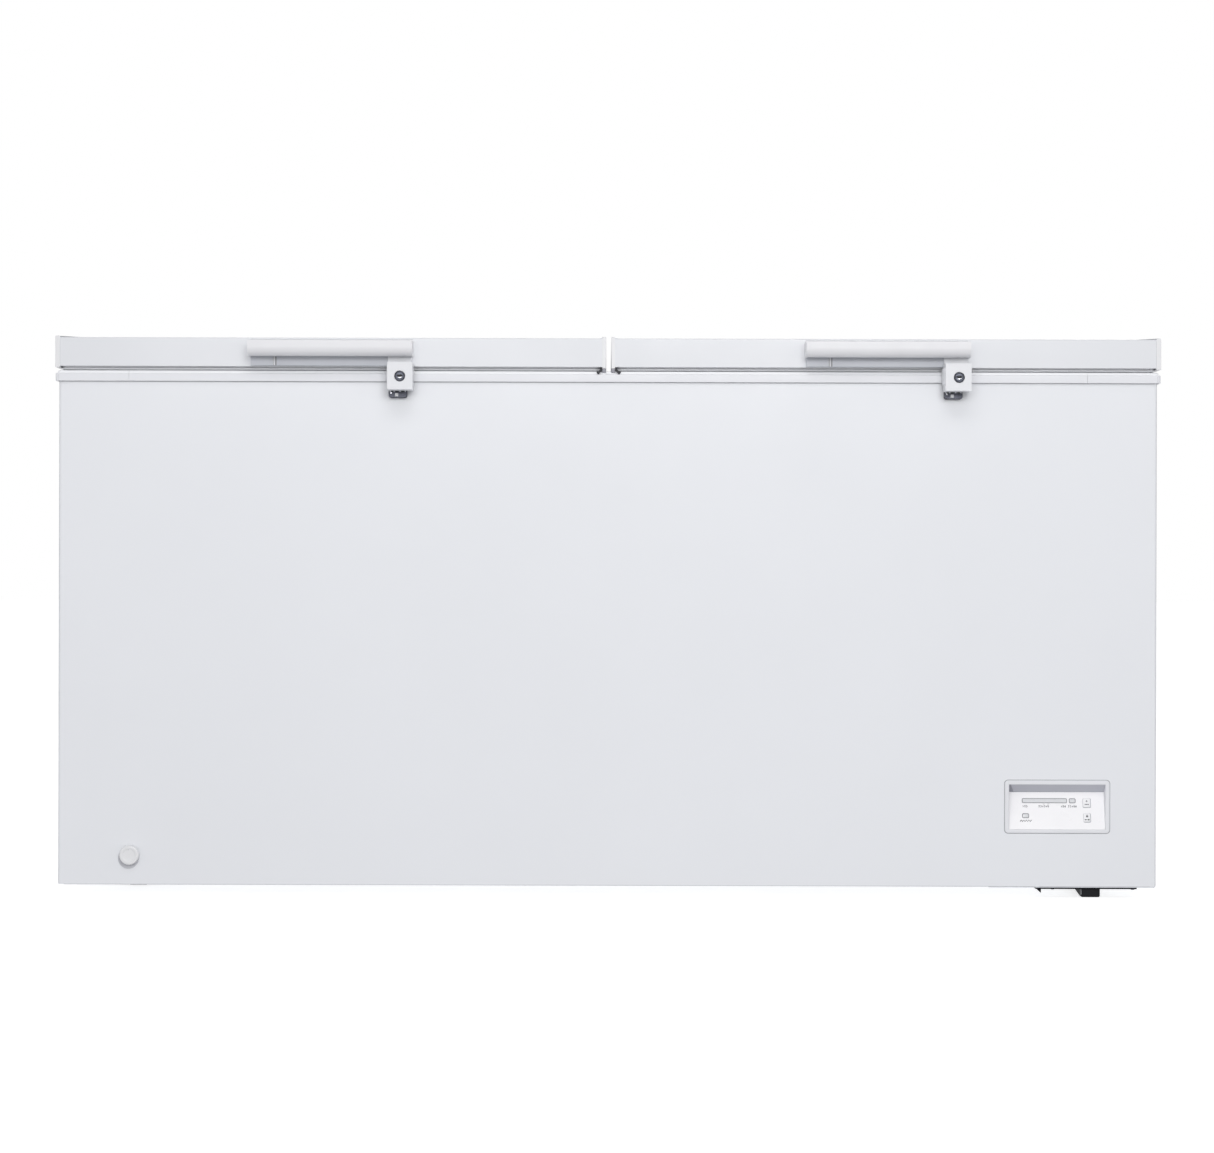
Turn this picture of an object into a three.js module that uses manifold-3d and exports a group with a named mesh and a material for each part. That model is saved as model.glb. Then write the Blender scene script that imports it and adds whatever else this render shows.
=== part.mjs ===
// Twin-lid chest freezer, about 500 litres, as separate pieces.
// Millimetres. +X to the user's right, +Y to the back, +Z up.
// The origin is on the floor, under the centre of the whole object's box.
import * as THREE from "three";
import { mergeVertices } from "three/addons/utils/BufferGeometryUtils.js";
import Module from "manifold-3d";

const wasm = await Module();
wasm.setup();

// ---------- driving dimensions ----------
const GAP = 0.3; // between pieces that touch
const TOTAL_DEPTH = 742; // front of the handles to back of the hinges
const LID_SPAN = 1650; // across both lids
const LID_DEPTH = 680;
const LID_SLIT = 5.6; // between the two lids
const OVERHANG = 5; // lids and rim past the cabinet, on each side
const HANDLE_OUT = 42; // handle in front of the lid
const CABINET_BOTTOM = 15;
const RIM_BOTTOM = 768;
const RIM_LEDGE = 780;
const RIM_LAND = 785; // where the gasket seals
const RIM_SEAM = 715; // x of the joint between a rim bar and an end piece
const LID_BOTTOM = 791;
const LID_TOP = 834;
const LID_END_TOP = 836.2; // the lid's ends stand a little higher
const SHEET = 1.2; // steel sheet
const WALL = 70; // insulation of the sides, front and back
const HINGE_Y = 10; // pin behind the lid's back edge
const HINGE_Z = 800;
const HINGE_SPREAD = 250; // each hinge from its lid's centre

// ---------- places worked out from them ----------
const LID_FRONT = -TOTAL_DEPTH / 2 + HANDLE_OUT;
const LID_BACK = LID_FRONT + LID_DEPTH;
const CAB_FRONT = LID_FRONT + OVERHANG;
const CAB_BACK = LID_BACK - OVERHANG;
const CAB_X = LID_SPAN / 2 - OVERHANG;
const LID_Y = (LID_FRONT + LID_BACK) / 2;
const LID_WIDTH = (LID_SPAN - LID_SLIT) / 2;
const LID_X = (LID_WIDTH + LID_SLIT) / 2; // a lid's centre from the middle

// the space inside the liner
const HOLD_X = CAB_X - WALL;
const HOLD_FRONT = CAB_FRONT + WALL;
const HOLD_BACK = CAB_BACK - WALL;
const HOLD_Y = (HOLD_FRONT + HOLD_BACK) / 2;
const HOLD_FLOOR = 90;
const HOLD_RADIUS = 30;
const STEP_X = 500; // the liner steps up over the machine compartment
const STEP_Z = 372;
const BAY_X = 570; // machine compartment, right end
const BAY_TOP = 300;

// ---------- materials ----------
const finish = (color, roughness, metalness = 0) =>
  new THREE.MeshStandardMaterial({ color, roughness, metalness });
const whiteSteel = finish(0xe6e7ec, 0.35);
const whitePlastic = finish(0xe9eaee, 0.4);
const faceWhite = finish(0xf8f8fa, 0.3);
const embossedAluminium = finish(0xc9ccd0, 0.4, 0.9);
const galvanised = finish(0x9a9ea3, 0.45, 0.9);
const foam = finish(0xe8dcae, 0.95);
const gasketGrey = finish(0xb9bcc3, 0.7);
const darkChrome = finish(0x6b6e77, 0.25, 1);
const blackPlastic = finish(0x16181c, 0.5);
const blackEnamel = finish(0x1b1c1f, 0.35);
const copper = finish(0xb87350, 0.35, 1);
const whiteWire = finish(0xf0f0f2, 0.45);
const lensGrey = finish(0xd4d7db, 0.3);
const boardGreen = finish(0x2e6b45, 0.6);

// ---------- solids ----------
function solid(geometry) {
  const bare = geometry.index ? geometry.toNonIndexed() : geometry.clone();
  bare.deleteAttribute("normal");
  bare.deleteAttribute("uv");
  const merged = mergeVertices(bare, 1e-4);
  const vertProperties = merged.attributes.position.array;
  const triVerts = new Uint32Array(merged.index.array);
  return new wasm.Manifold(new wasm.Mesh({ numProp: 3, vertProperties, triVerts }));
}

function geometryOf(manifold) {
  const mesh = manifold.getMesh();
  const places = new Float32Array(mesh.numVert * 3);
  for (let i = 0; i < mesh.numVert; i++) {
    places.set(mesh.vertProperties.subarray(i * mesh.numProp, i * mesh.numProp + 3), i * 3);
  }
  const geometry = new THREE.BufferGeometry();
  geometry.setAttribute("position", new THREE.BufferAttribute(places, 3));
  geometry.setIndex(new THREE.BufferAttribute(mesh.triVerts, 1));
  geometry.computeVertexNormals();
  return geometry;
}

const join = (...geometries) => geometryOf(geometries.map(solid).reduce((a, b) => a.add(b)));
const cut = (base, ...tools) =>
  geometryOf(tools.map(solid).reduce((a, b) => a.subtract(b), solid(base)));
const common = (a, b) => geometryOf(solid(a).intersect(solid(b)));

// a box from its lowest to its highest corner
function box(x0, x1, y0, y1, z0, z1) {
  const geometry = new THREE.BoxGeometry(x1 - x0, y1 - y0, z1 - z0);
  return geometry.translate((x0 + x1) / 2, (y0 + y1) / 2, (z0 + z1) / 2);
}

const shapeOf = (points) => new THREE.Shape(points.map(([a, b]) => new THREE.Vector2(a, b)));

function along(shape, from, to, axes, curveSegments = 2) {
  const options = { depth: to - from, bevelEnabled: false, curveSegments };
  const geometry = new THREE.ExtrudeGeometry(shape, options).translate(0, 0, from);
  return geometry.applyMatrix4(new THREE.Matrix4().makeBasis(...axes));
}

const [EX, EY, EZ] = [
  new THREE.Vector3(1, 0, 0),
  new THREE.Vector3(0, 1, 0),
  new THREE.Vector3(0, 0, 1),
];
// a (y, z) outline drawn out along x, an (x, z) outline along y, an (x, y) outline along z
const alongX = (shape, x0, x1, segments) => along(shape, x0, x1, [EY, EZ, EX], segments);
const alongY = (shape, y0, y1, segments) =>
  along(shape, -y1, -y0, [EX, EZ, EY.clone().negate()], segments);
const alongZ = (shape, z0, z1, segments) => along(shape, z0, z1, [EX, EY, EZ], segments);

function roundedRect(x0, x1, y0, y1, r) {
  const shape = new THREE.Shape();
  shape.moveTo(x0 + r, y0);
  shape.lineTo(x1 - r, y0);
  shape.absarc(x1 - r, y0 + r, r, -Math.PI / 2, 0, false);
  shape.lineTo(x1, y1 - r);
  shape.absarc(x1 - r, y1 - r, r, 0, Math.PI / 2, false);
  shape.lineTo(x0 + r, y1);
  shape.absarc(x0 + r, y1 - r, r, Math.PI / 2, Math.PI, false);
  shape.lineTo(x0, y0 + r);
  shape.absarc(x0 + r, y0 + r, r, Math.PI, Math.PI * 1.5, false);
  return shape;
}

// a cylinder on a line along x, y or z
function rod(axis, radius, from, to, [a, b], sides = 20) {
  const geometry = new THREE.CylinderGeometry(radius, radius, to - from, sides);
  const mid = (from + to) / 2;
  if (axis === "x") return geometry.rotateZ(-Math.PI / 2).translate(mid, a, b);
  if (axis === "y") return geometry.translate(a, mid, b);
  return geometry.rotateX(Math.PI / 2).translate(a, b, mid);
}

// a profile of (inset, z) points carried round a rectangle with mitred corners
function mitredRing(outline, cx, cy, halfX, halfY) {
  const flat = outline.map(([a, b]) => new THREE.Vector2(a, b));
  const profile = THREE.ShapeUtils.area(flat) > 0 ? [...outline].reverse() : outline;
  const corners = [
    [-1, -1],
    [1, -1],
    [1, 1],
    [-1, 1],
  ];
  const places = [];
  const count = profile.length;
  for (const [sx, sy] of corners) {
    for (const [inset, z] of profile) {
      places.push(cx + sx * (halfX - inset), cy + sy * (halfY - inset), z);
    }
  }
  const faces = [];
  for (let c = 0; c < 4; c++) {
    for (let i = 0; i < count; i++) {
      const a = c * count + i;
      const b = c * count + ((i + 1) % count);
      const a2 = ((c + 1) % 4) * count + i;
      const b2 = ((c + 1) % 4) * count + ((i + 1) % count);
      faces.push(a, a2, b2, a, b2, b);
    }
  }
  const geometry = new THREE.BufferGeometry();
  geometry.setAttribute("position", new THREE.Float32BufferAttribute(places, 3));
  geometry.setIndex(faces);
  return geometry;
}

const freezer = new THREE.Group();

function piece(name, geometry, material, parent = freezer) {
  const mesh = new THREE.Mesh(geometry, material);
  mesh.name = name;
  parent.add(mesh);
  return mesh;
}

// ---------- cabinet ----------
const PANEL = { x0: 593.7, x1: 751.3, z0: 95.4, z1: 175.3 }; // the bezel's outer edge
const DRAIN = { x: -712.6, z: 60.5, y: HOLD_FRONT + 40 };
const VENT = { y0: -70, y1: 230, z0: 70, z1: 250 };
const WRAPPER_TOP = RIM_BOTTOM + 6;

function cabinetWrapper() {
  const outside = roundedRect(-CAB_X, CAB_X, CAB_FRONT, CAB_BACK + 40, 9);
  const t = SHEET;
  const inside = roundedRect(-CAB_X + t, CAB_X - t, CAB_FRONT + t, CAB_BACK + 60, 9 - t);
  const tube = cut(
    alongZ(outside, CABINET_BOTTOM, WRAPPER_TOP),
    alongZ(inside, CABINET_BOTTOM - 1, WRAPPER_TOP + 1),
    box(-900, 900, CAB_BACK, CAB_BACK + 100, 0, 900),
  );
  const flange = (side) => {
    const [a, b] = [side * (CAB_X - 14), side * (CAB_X - t / 2)];
    return box(Math.min(a, b), Math.max(a, b), CAB_BACK - t, CAB_BACK, CABINET_BOTTOM, WRAPPER_TOP);
  };
  return cut(
    join(tube, flange(-1), flange(1)),
    box(PANEL.x0 + 2.8, PANEL.x1 - 2.8, CAB_FRONT - 5, CAB_FRONT + 5, PANEL.z0 + 2.6, PANEL.z1 - 2.8),
    rod("y", 10.6, CAB_FRONT - 5, CAB_FRONT + 5, [DRAIN.x, DRAIN.z]),
    box(CAB_X - 5, CAB_X + 5, VENT.y0 + 5, VENT.y1 - 5, VENT.z0 + 5, VENT.z1 - 5),
  );
}

const GLAND = { x: 700, z: 64 };

function backPanel() {
  const back = CAB_BACK - SHEET - GAP;
  const sheet = box(-CAB_X + 1.6, CAB_X - 1.6, back - 1, back, CABINET_BOTTOM, WRAPPER_TOP);
  return cut(sheet, rod("y", 8, back - 10, back + 10, [GLAND.x, GLAND.z]));
}

const BASE_FRONT = CAB_FRONT + SHEET + GAP;
const BASE_BACK = CAB_BACK - SHEET - 1 - 2 * GAP;
const INSIDE_X = CAB_X - SHEET - 0.4;

// the part of a solid that fits between the wrapper's rounded front corners
function inCabinet(geometry) {
  const outline = roundedRect(-INSIDE_X, INSIDE_X, BASE_FRONT, BASE_BACK + 20, 7.4);
  return common(geometry, alongZ(outline, 0, 900));
}

// what the foam surrounds: the liner's outside, grown by "more"
function holdSpace(more, top) {
  const r = HOLD_RADIUS + more;
  const upper = roundedRect(-HOLD_X - more, HOLD_X + more, HOLD_FRONT - more, HOLD_BACK + more, r);
  const lower = roundedRect(-HOLD_X - more, STEP_X + more, HOLD_FRONT - more, HOLD_BACK + more, r);
  return join(
    alongZ(upper, STEP_Z - more, top),
    alongZ(lower, HOLD_FLOOR - more, top),
  );
}

const LINER_TOP = RIM_LAND - 8;
const PIPE_RADIUS = 12;
const PIPE_BORE = 9;

function innerLiner() {
  return cut(
    holdSpace(SHEET, LINER_TOP),
    holdSpace(0, LINER_TOP + 10),
    rod("z", PIPE_BORE, HOLD_FLOOR - 5, HOLD_FLOOR + 5, [DRAIN.x, DRAIN.y], 16),
  );
}

const COIL = { z0: 430, z1: 700, tube: 4, turns: 4 };

function foamBody() {
  const foamTop = RIM_BOTTOM;
  const block = inCabinet(
    box(-CAB_X, CAB_X, BASE_FRONT, BASE_BACK, CABINET_BOTTOM + SHEET + GAP, foamTop),
  );
  const band = roundedRect(-HOLD_X - 13, HOLD_X + 13, HOLD_FRONT - 13, HOLD_BACK + 13, 43);
  const pipe = PIPE_RADIUS + GAP;
  return cut(
    block,
    holdSpace(SHEET + GAP, foamTop + 5),
    alongZ(band, COIL.z0 - 10, COIL.z1 + 10),
    box(BAY_X, 900, -400, 400, 0, BAY_TOP),
    rod("z", pipe, DRAIN.z, HOLD_FLOOR + 5, [DRAIN.x, DRAIN.y], 16),
    rod("y", pipe, BASE_FRONT - 5, DRAIN.y + pipe, [DRAIN.x, DRAIN.z], 16),
  );
}

// one tube wound round the liner; the corners get most of the steps
class CoilPath extends THREE.Curve {
  getPoint(t, target = new THREE.Vector3()) {
    const r = HOLD_RADIUS + SHEET + GAP + COIL.tube + 1;
    const [hx, hy] = [HOLD_X - HOLD_RADIUS, (HOLD_BACK - HOLD_FRONT) / 2 - HOLD_RADIUS];
    const around = (t * COIL.turns * 4) % 4;
    const side = Math.min(3, Math.floor(around));
    const share = around - side;
    const corners = [
      [1, -1],
      [1, 1],
      [-1, 1],
      [-1, -1],
    ];
    const [sx, sy] = corners[side];
    const start = -Math.PI / 2 + (side * Math.PI) / 2;
    const straight = 0.25; // share of each side's steps spent on its straight run
    if (share < 1 - straight) {
      const angle = start + (share / (1 - straight)) * (Math.PI / 2);
      target.set(sx * hx + r * Math.cos(angle), sy * hy + r * Math.sin(angle), 0);
    } else {
      const [nx, ny] = corners[(side + 1) % 4];
      const f = (share - 1 + straight) / straight;
      const out = start + Math.PI / 2;
      const [ax, ay] = [sx * hx + r * Math.cos(out), sy * hy + r * Math.sin(out)];
      const [bx, by] = [nx * hx + r * Math.cos(out), ny * hy + r * Math.sin(out)];
      target.set(ax + (bx - ax) * f, ay + (by - ay) * f, 0);
    }
    target.y += HOLD_Y;
    target.z = COIL.z0 + t * (COIL.z1 - COIL.z0);
    return target;
  }

  getUtoTmapping(u) {
    return u;
  }
}

function tubeAlong(path, radius, steps, sides) {
  const shape = new THREE.Shape().absarc(0, 0, radius, 0, Math.PI * 2, false);
  return new THREE.ExtrudeGeometry(shape, { steps, extrudePath: path, curveSegments: sides / 2 });
}

piece("cabinet_wrapper", cabinetWrapper(), whiteSteel);
piece("back_panel", backPanel(), whiteSteel);
piece(
  "bottom_panel",
  inCabinet(box(-CAB_X, BAY_X, BASE_FRONT, BASE_BACK, CABINET_BOTTOM, CABINET_BOTTOM + SHEET)),
  galvanised,
);
piece("foam_insulation", foamBody(), foam);
piece("inner_liner", innerLiner(), embossedAluminium);
piece("evaporator_coil", tubeAlong(new CoilPath(), COIL.tube, COIL.turns * 16, 6), copper);

// ---------- rim ----------
const LAND_INSET = 16; // the land starts this far in from the rim's outer edge
const RIM_INNER = CAB_FRONT + WALL - LID_FRONT + 2; // inner skirt, just inside the liner
const RIM_WALL = 2.2;
const SKIRT_BOTTOM = 745;
const SHELF = { inset: 57, z: 780.5 }; // the baskets hang from here

const rimProfile = [
  [0, RIM_BOTTOM],
  [RIM_WALL, RIM_BOTTOM],
  [RIM_WALL, RIM_LEDGE - RIM_WALL],
  [10.4, RIM_LEDGE - RIM_WALL],
  [LAND_INSET + 1, RIM_LAND - RIM_WALL],
  [RIM_INNER + 20, RIM_LAND - RIM_WALL],
  [RIM_INNER + 20, RIM_LAND],
  [LAND_INSET, RIM_LAND],
  [9.5, RIM_LEDGE],
  [1, RIM_LEDGE],
  [0, RIM_LEDGE - 1],
];

function rimOutline(inset, r) {
  const [x, y] = [LID_SPAN / 2 - inset, LID_DEPTH / 2 - inset];
  return roundedRect(-x, x, LID_Y - y, LID_Y + y, r);
}

const mouth = alongZ(rimOutline(RIM_INNER, HOLD_RADIUS - 2), SKIRT_BOTTOM - 1, RIM_LAND + 1);
const shelfRadius = HOLD_RADIUS + RIM_INNER - SHELF.inset - 2;
const rimRing = cut(
  join(
    common(
      mitredRing(rimProfile, 0, LID_Y, LID_SPAN / 2, LID_DEPTH / 2),
      alongZ(rimOutline(0, 5), 700, 800),
    ),
    cut(
      alongZ(rimOutline(RIM_INNER - 1.7, HOLD_RADIUS - GAP), SKIRT_BOTTOM, RIM_LAND),
      mouth,
    ),
    cut(
      alongZ(
        rimOutline(SHELF.inset - RIM_WALL, shelfRadius + RIM_WALL),
        SHELF.z - RIM_WALL,
        RIM_LAND,
      ),
      mouth,
    ),
  ),
  mouth,
  alongZ(rimOutline(SHELF.inset, shelfRadius), SHELF.z, RIM_LAND + 1),
);
const seam = RIM_SEAM - GAP / 2;
piece("rim_front", common(rimRing, box(-seam, seam, -400, 0, 700, 800)), whitePlastic);
piece("rim_back", common(rimRing, box(-seam, seam, 0, 400, 700, 800)), whitePlastic);
piece("rim_left_end", common(rimRing, box(-900, -seam - GAP, -400, 400, 700, 800)), whitePlastic);
piece("rim_right_end", common(rimRing, box(seam + GAP, 900, -400, 400, 700, 800)), whitePlastic);

// the bar across the mouth, where both lids' gaskets meet
const BAR_HALF = 40;
const barShape = roundedRect(-BAR_HALF, BAR_HALF, RIM_LAND - 40, RIM_LAND, 4);
barShape.holes.push(roundedRect(-BAR_HALF + 2, BAR_HALF - 2, RIM_LAND - 38, RIM_LAND - 2, 2));
piece(
  "centre_bar",
  alongY(barShape, LID_FRONT + RIM_INNER + GAP, LID_BACK - RIM_INNER - GAP),
  whitePlastic,
);

// ---------- machine compartment ----------
function compressorBase() {
  const [x0, x1] = [BAY_X + GAP, CAB_X];
  const plate = box(x0, x1, BASE_FRONT, BASE_BACK, CABINET_BOTTOM, CABINET_BOTTOM + 2);
  const rib = (y) => box(x0, x1, y, y + 12, CABINET_BOTTOM + 2 - 0.5, CABINET_BOTTOM + 9);
  const tab = box(650.5, 668.5, BASE_FRONT + 2, BASE_FRONT + 26, 8, CABINET_BOTTOM + 0.5);
  const bolt = rod("z", 3.4, 12.2, CABINET_BOTTOM + 0.5, [788, BASE_FRONT + 10], 12);
  return inCabinet(join(plate, rib(-120), rib(160), tab, bolt));
}

const MACHINE = { x: 690, y: 40 };

function compressor() {
  const radius = 72;
  const shell = [
    [0, 40],
    [52, 40],
    [radius, 58],
    [radius + 2, 108],
    [radius + 2, 116],
    [radius, 122],
    [radius - 4, 158],
    [radius - 18, 182],
    [radius - 42, 196],
    [0, 200],
  ].map(([r, z]) => new THREE.Vector2(r, z));
  const body = new THREE.LatheGeometry(shell, 20).rotateX(Math.PI / 2);
  const feet = box(-88, 88, -70, 70, 36, 41);
  const stud = (x, y) => rod("z", 11, CABINET_BOTTOM + 2 + GAP, 37, [x, y], 12);
  const studs = [-1, 1].flatMap((sx) => [-1, 1].map((sy) => stud(sx * 74, sy * 56)));
  const relay = box(-radius - 26, -radius + 14, -28, 28, 84, 136);
  return join(body, feet, relay, ...studs).translate(MACHINE.x, MACHINE.y, 0);
}

function pipework() {
  const stops = [
    [MACHINE.x + 20, MACHINE.y + 72, 150],
    [MACHINE.x + 20, MACHINE.y + 130, 150],
    [MACHINE.x + 24, MACHINE.y + 190, 172],
    [MACHINE.x + 60, MACHINE.y + 215, 205],
    [MACHINE.x + 96, MACHINE.y + 200, 240],
    [MACHINE.x + 100, MACHINE.y + 150, 258],
    [MACHINE.x + 60, MACHINE.y + 110, 262],
    [MACHINE.x, MACHINE.y + 100, 266],
    [MACHINE.x - 50, MACHINE.y + 110, 272],
    [MACHINE.x - 56, MACHINE.y + 114, BAY_TOP - 1],
  ].map((p) => new THREE.Vector3(...p));
  const tube = tubeAlong(new THREE.CatmullRomCurve3(stops), 3.5, 28, 6);
  const drier = rod("z", 11, 168, 240, [MACHINE.x + 64, MACHINE.y + 214], 12);
  return join(tube, drier);
}

piece("compressor_base", compressorBase(), galvanised);
piece("compressor", compressor(), blackEnamel);
piece("filter_drier_and_pipes", pipework(), copper);
piece("control_box", box(BAY_X + GAP, BAY_X + 50, -210, -70, 60, 180), whitePlastic);
piece(
  "cord_gland",
  join(
    rod("y", 7.6, CAB_BACK - 10, CAB_BACK + 1, [GLAND.x, GLAND.z], 16),
    rod("y", 11, CAB_BACK, CAB_BACK + 8, [GLAND.x, GLAND.z], 16),
  ),
  blackPlastic,
);

function ventGrille() {
  const frame = box(CAB_X + GAP, CAB_X + 3, VENT.y0, VENT.y1, VENT.z0, VENT.z1);
  const [y0, y1, z0, z1] = [VENT.y0 + 5.4, VENT.y1 - 5.4, VENT.z0 + 5.4, VENT.z1 - 5.4];
  const body = box(CAB_X - 8, CAB_X + 1, y0, y1, z0, z1);
  const slots = [];
  for (let z = VENT.z0 + 18; z < VENT.z1 - 18; z += 12) {
    slots.push(box(CAB_X - 20, CAB_X + 20, VENT.y0 + 16, VENT.y1 - 16, z, z + 3.6));
  }
  return cut(join(frame, body), ...slots);
}
piece("vent_grille", ventGrille(), whitePlastic);

// ---------- feet ----------
const FOOT = { width: 28.7, length: 85, x: 723.5 };

function foot(x, y) {
  const top = CABINET_BOTTOM - GAP;
  const side = shapeOf([
    [y, top],
    [y, 2],
    [y + 2, 0],
    [y + FOOT.length - 12, 0],
    [y + FOOT.length, 11],
    [y + FOOT.length, top],
  ]);
  return alongX(side, x - FOOT.width / 2, x + FOOT.width / 2);
}

piece("foot_front_right", foot(FOOT.x, CAB_FRONT + 10), blackPlastic);
piece("foot_front_left", foot(-FOOT.x, CAB_FRONT + 168), blackPlastic);
piece("foot_back_right", foot(FOOT.x, CAB_BACK - 110), blackPlastic);
piece("foot_back_left", foot(-FOOT.x, CAB_BACK - 110), blackPlastic);

// ---------- control panel ----------
const WINDOW = { x0: 600.1, x1: 744.8, z0: 102, z1: 168.7 };
const FACE = { top: 157, deep: 15 }; // the face leans back this far at its top

function panelBezel() {
  const flange = alongY(
    roundedRect(PANEL.x0, PANEL.x1, PANEL.z0, PANEL.z1, 4.5),
    CAB_FRONT - 2,
    CAB_FRONT - GAP,
  );
  const body = box(
    PANEL.x0 + 3.2,
    PANEL.x1 - 3.2,
    CAB_FRONT - 1,
    CAB_FRONT + 24,
    PANEL.z0 + 3,
    PANEL.z1 - 3.2,
  );
  const through = box(WINDOW.x0, WINDOW.x1, -400, -200, WINDOW.z0, WINDOW.z1);
  const hood = shapeOf([
    [CAB_FRONT - 1.6, WINDOW.z1 + 1],
    [CAB_FRONT + FACE.deep, FACE.top + 1],
    [CAB_FRONT + FACE.deep + 6, FACE.top + 1],
    [CAB_FRONT + FACE.deep + 6, WINDOW.z1 + 1],
  ]);
  const hoodPiece = alongX(hood, WINDOW.x0 - 1, WINDOW.x1 + 1);
  return join(cut(join(flange, body), through), hoodPiece);
}
piece("panel_bezel", panelBezel(), whitePlastic);

// everything on the leaning face is placed in its own frame: x, height up the face, outwards
const lean = Math.atan2(FACE.deep, FACE.top - WINDOW.z0);
const faceBottom = WINDOW.z0 + 0.9;
const faceFrame = new THREE.Group();
faceFrame.position.set(0, CAB_FRONT - 0.6, faceBottom);
faceFrame.rotation.x = Math.PI / 2 - lean;
freezer.add(faceFrame);
const upFace = (z) => (z - faceBottom) / Math.cos(lean);
// lights and buttons: [x0, x1, z0, z1] as seen from the front
const LIGHT_BAR = [619.3, 686.9, 140.2, 147.7];
const FAST_LIGHT = [689.4, 700.3, 140.2, 147.7];
const RUN_LIGHT = [619.9, 630.3, 118, 125.2];
const SET_KEY = [710, 723, 133.6, 147.5];
const LOCK_KEY = [710, 723, 111, 125];

function onFace([x0, x1, z0, z1], back, front, grow = 0) {
  return box(x0 - grow, x1 + grow, upFace(z0) - grow, upFace(z1) + grow, back, front);
}

const faceHeight = upFace(FACE.top) - 1;
const facePlate = box(WINDOW.x0 + GAP, WINDOW.x1 - GAP, 0, faceHeight, -2, 0);
const faceHoles = [LIGHT_BAR, FAST_LIGHT, RUN_LIGHT, SET_KEY, LOCK_KEY];
piece(
  "panel_face",
  cut(facePlate, ...faceHoles.map((f) => onFace(f, -5, 5, GAP))),
  faceWhite,
  faceFrame,
);
const lightSpan = [LIGHT_BAR[0], FAST_LIGHT[1], RUN_LIGHT[2], LIGHT_BAR[3]];
piece(
  "light_guide",
  join(
    onFace(lightSpan, -4, -2 - GAP),
    ...[LIGHT_BAR, FAST_LIGHT, RUN_LIGHT].map((f) => onFace(f, -3, -0.4)),
  ),
  lensGrey,
  faceFrame,
);
piece("panel_board", box(606, 739, 4, faceHeight - 6, -9, -7.4), boardGreen, faceFrame);
// a key, with a flange behind the face that keeps it in
const key = (place) => join(onFace(place, -4, 1.5), onFace(place, -4, -2 - GAP, 1.5));
piece("set_button", key(SET_KEY), faceWhite, faceFrame);
piece("unlock_button", key(LOCK_KEY), faceWhite, faceFrame);

// ---------- drain ----------
function drainPipe() {
  const [front, bend] = [BASE_FRONT + GAP, DRAIN.y];
  const high = HOLD_FLOOR - SHEET - GAP;
  const outer = join(
    rod("y", PIPE_RADIUS, front, bend + PIPE_RADIUS, [DRAIN.x, DRAIN.z], 16),
    rod("z", PIPE_RADIUS, DRAIN.z, high, [DRAIN.x, DRAIN.y], 16),
  );
  return cut(
    outer,
    rod("y", PIPE_BORE, front - 5, bend, [DRAIN.x, DRAIN.z], 16),
    rod("z", PIPE_BORE, DRAIN.z, high + 5, [DRAIN.x, DRAIN.y], 16),
  );
}

function drainSpout() {
  const [front, back] = [CAB_FRONT - 1, CAB_FRONT + 40];
  return cut(
    rod("y", PIPE_BORE - 0.5, front, back, [DRAIN.x, DRAIN.z], 16),
    rod("y", 6, front - 5, back + 5, [DRAIN.x, DRAIN.z], 16),
  );
}

function drainDial() {
  const [front, back] = [CAB_FRONT - 10.5, CAB_FRONT - 1 - GAP];
  const rim = rod("y", 14.5, front + 1, back, [DRAIN.x, DRAIN.z], 28);
  const nose = rod("y", 13.5, front, front + 2, [DRAIN.x, DRAIN.z], 28);
  const dish = rod("y", 9.4, front - 5, front + 1, [DRAIN.x, DRAIN.z], 24);
  return cut(join(rim, nose), dish);
}

function drainPlug() {
  const place = [DRAIN.x, DRAIN.y];
  const disc = rod("z", 15, HOLD_FLOOR + GAP, HOLD_FLOOR + 3, place, 20);
  const stem = rod("z", PIPE_BORE - 0.5, HOLD_FLOOR - 14, HOLD_FLOOR + 1, place, 16);
  const [x, y, z] = [DRAIN.x, DRAIN.y, HOLD_FLOOR];
  const grip = box(x - 9, x + 9, y - 1.5, y + 1.5, z + 2, z + 13);
  return join(disc, stem, grip);
}

piece("drain_pipe", drainPipe(), whitePlastic);
piece("drain_spout", drainSpout(), whitePlastic);
piece("drain_dial", drainDial(), whitePlastic);
piece("drain_plug", drainPlug(), whitePlastic);

// ---------- baskets ----------
const BASKET = { width: 240, z0: 590, z1: 770, wall: 3, x: 615 };

function basket(x) {
  const [x0, x1] = [x - BASKET.width / 2, x + BASKET.width / 2];
  const [y0, y1] = [HOLD_FRONT + 10, HOLD_BACK - 10];
  const { z0, z1, wall } = BASKET;
  const tub = cut(
    box(x0, x1, y0, y1, z0, z1),
    box(x0 + wall, x1 - wall, y0 + wall, y1 - wall, z0 + wall, z1 + 5),
  );
  const hangers = [];
  for (const hx of [x0 + 30, x1 - 60]) {
    for (const [face, out] of [
      [y0, -1],
      [y1, 1],
    ]) {
      const riser = [face, face + out * -wall];
      const reach = [face + out * -wall, face + out * 20];
      const span = (pair) => [Math.min(...pair), Math.max(...pair)];
      hangers.push(box(hx, hx + 30, ...span(riser), z1 - 10, SHELF.z + 4.4));
      hangers.push(box(hx, hx + 30, ...span(reach), SHELF.z + 0.6, SHELF.z + 4.4));
    }
  }
  return join(tub, ...hangers);
}
piece("basket_left", basket(-BASKET.x), whiteWire);
piece("basket_right", basket(BASKET.x), whiteWire);

// ---------- hinges ----------
const PIN_Y = LID_BACK + HINGE_Y;
const PIN_RADIUS = 4;

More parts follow.
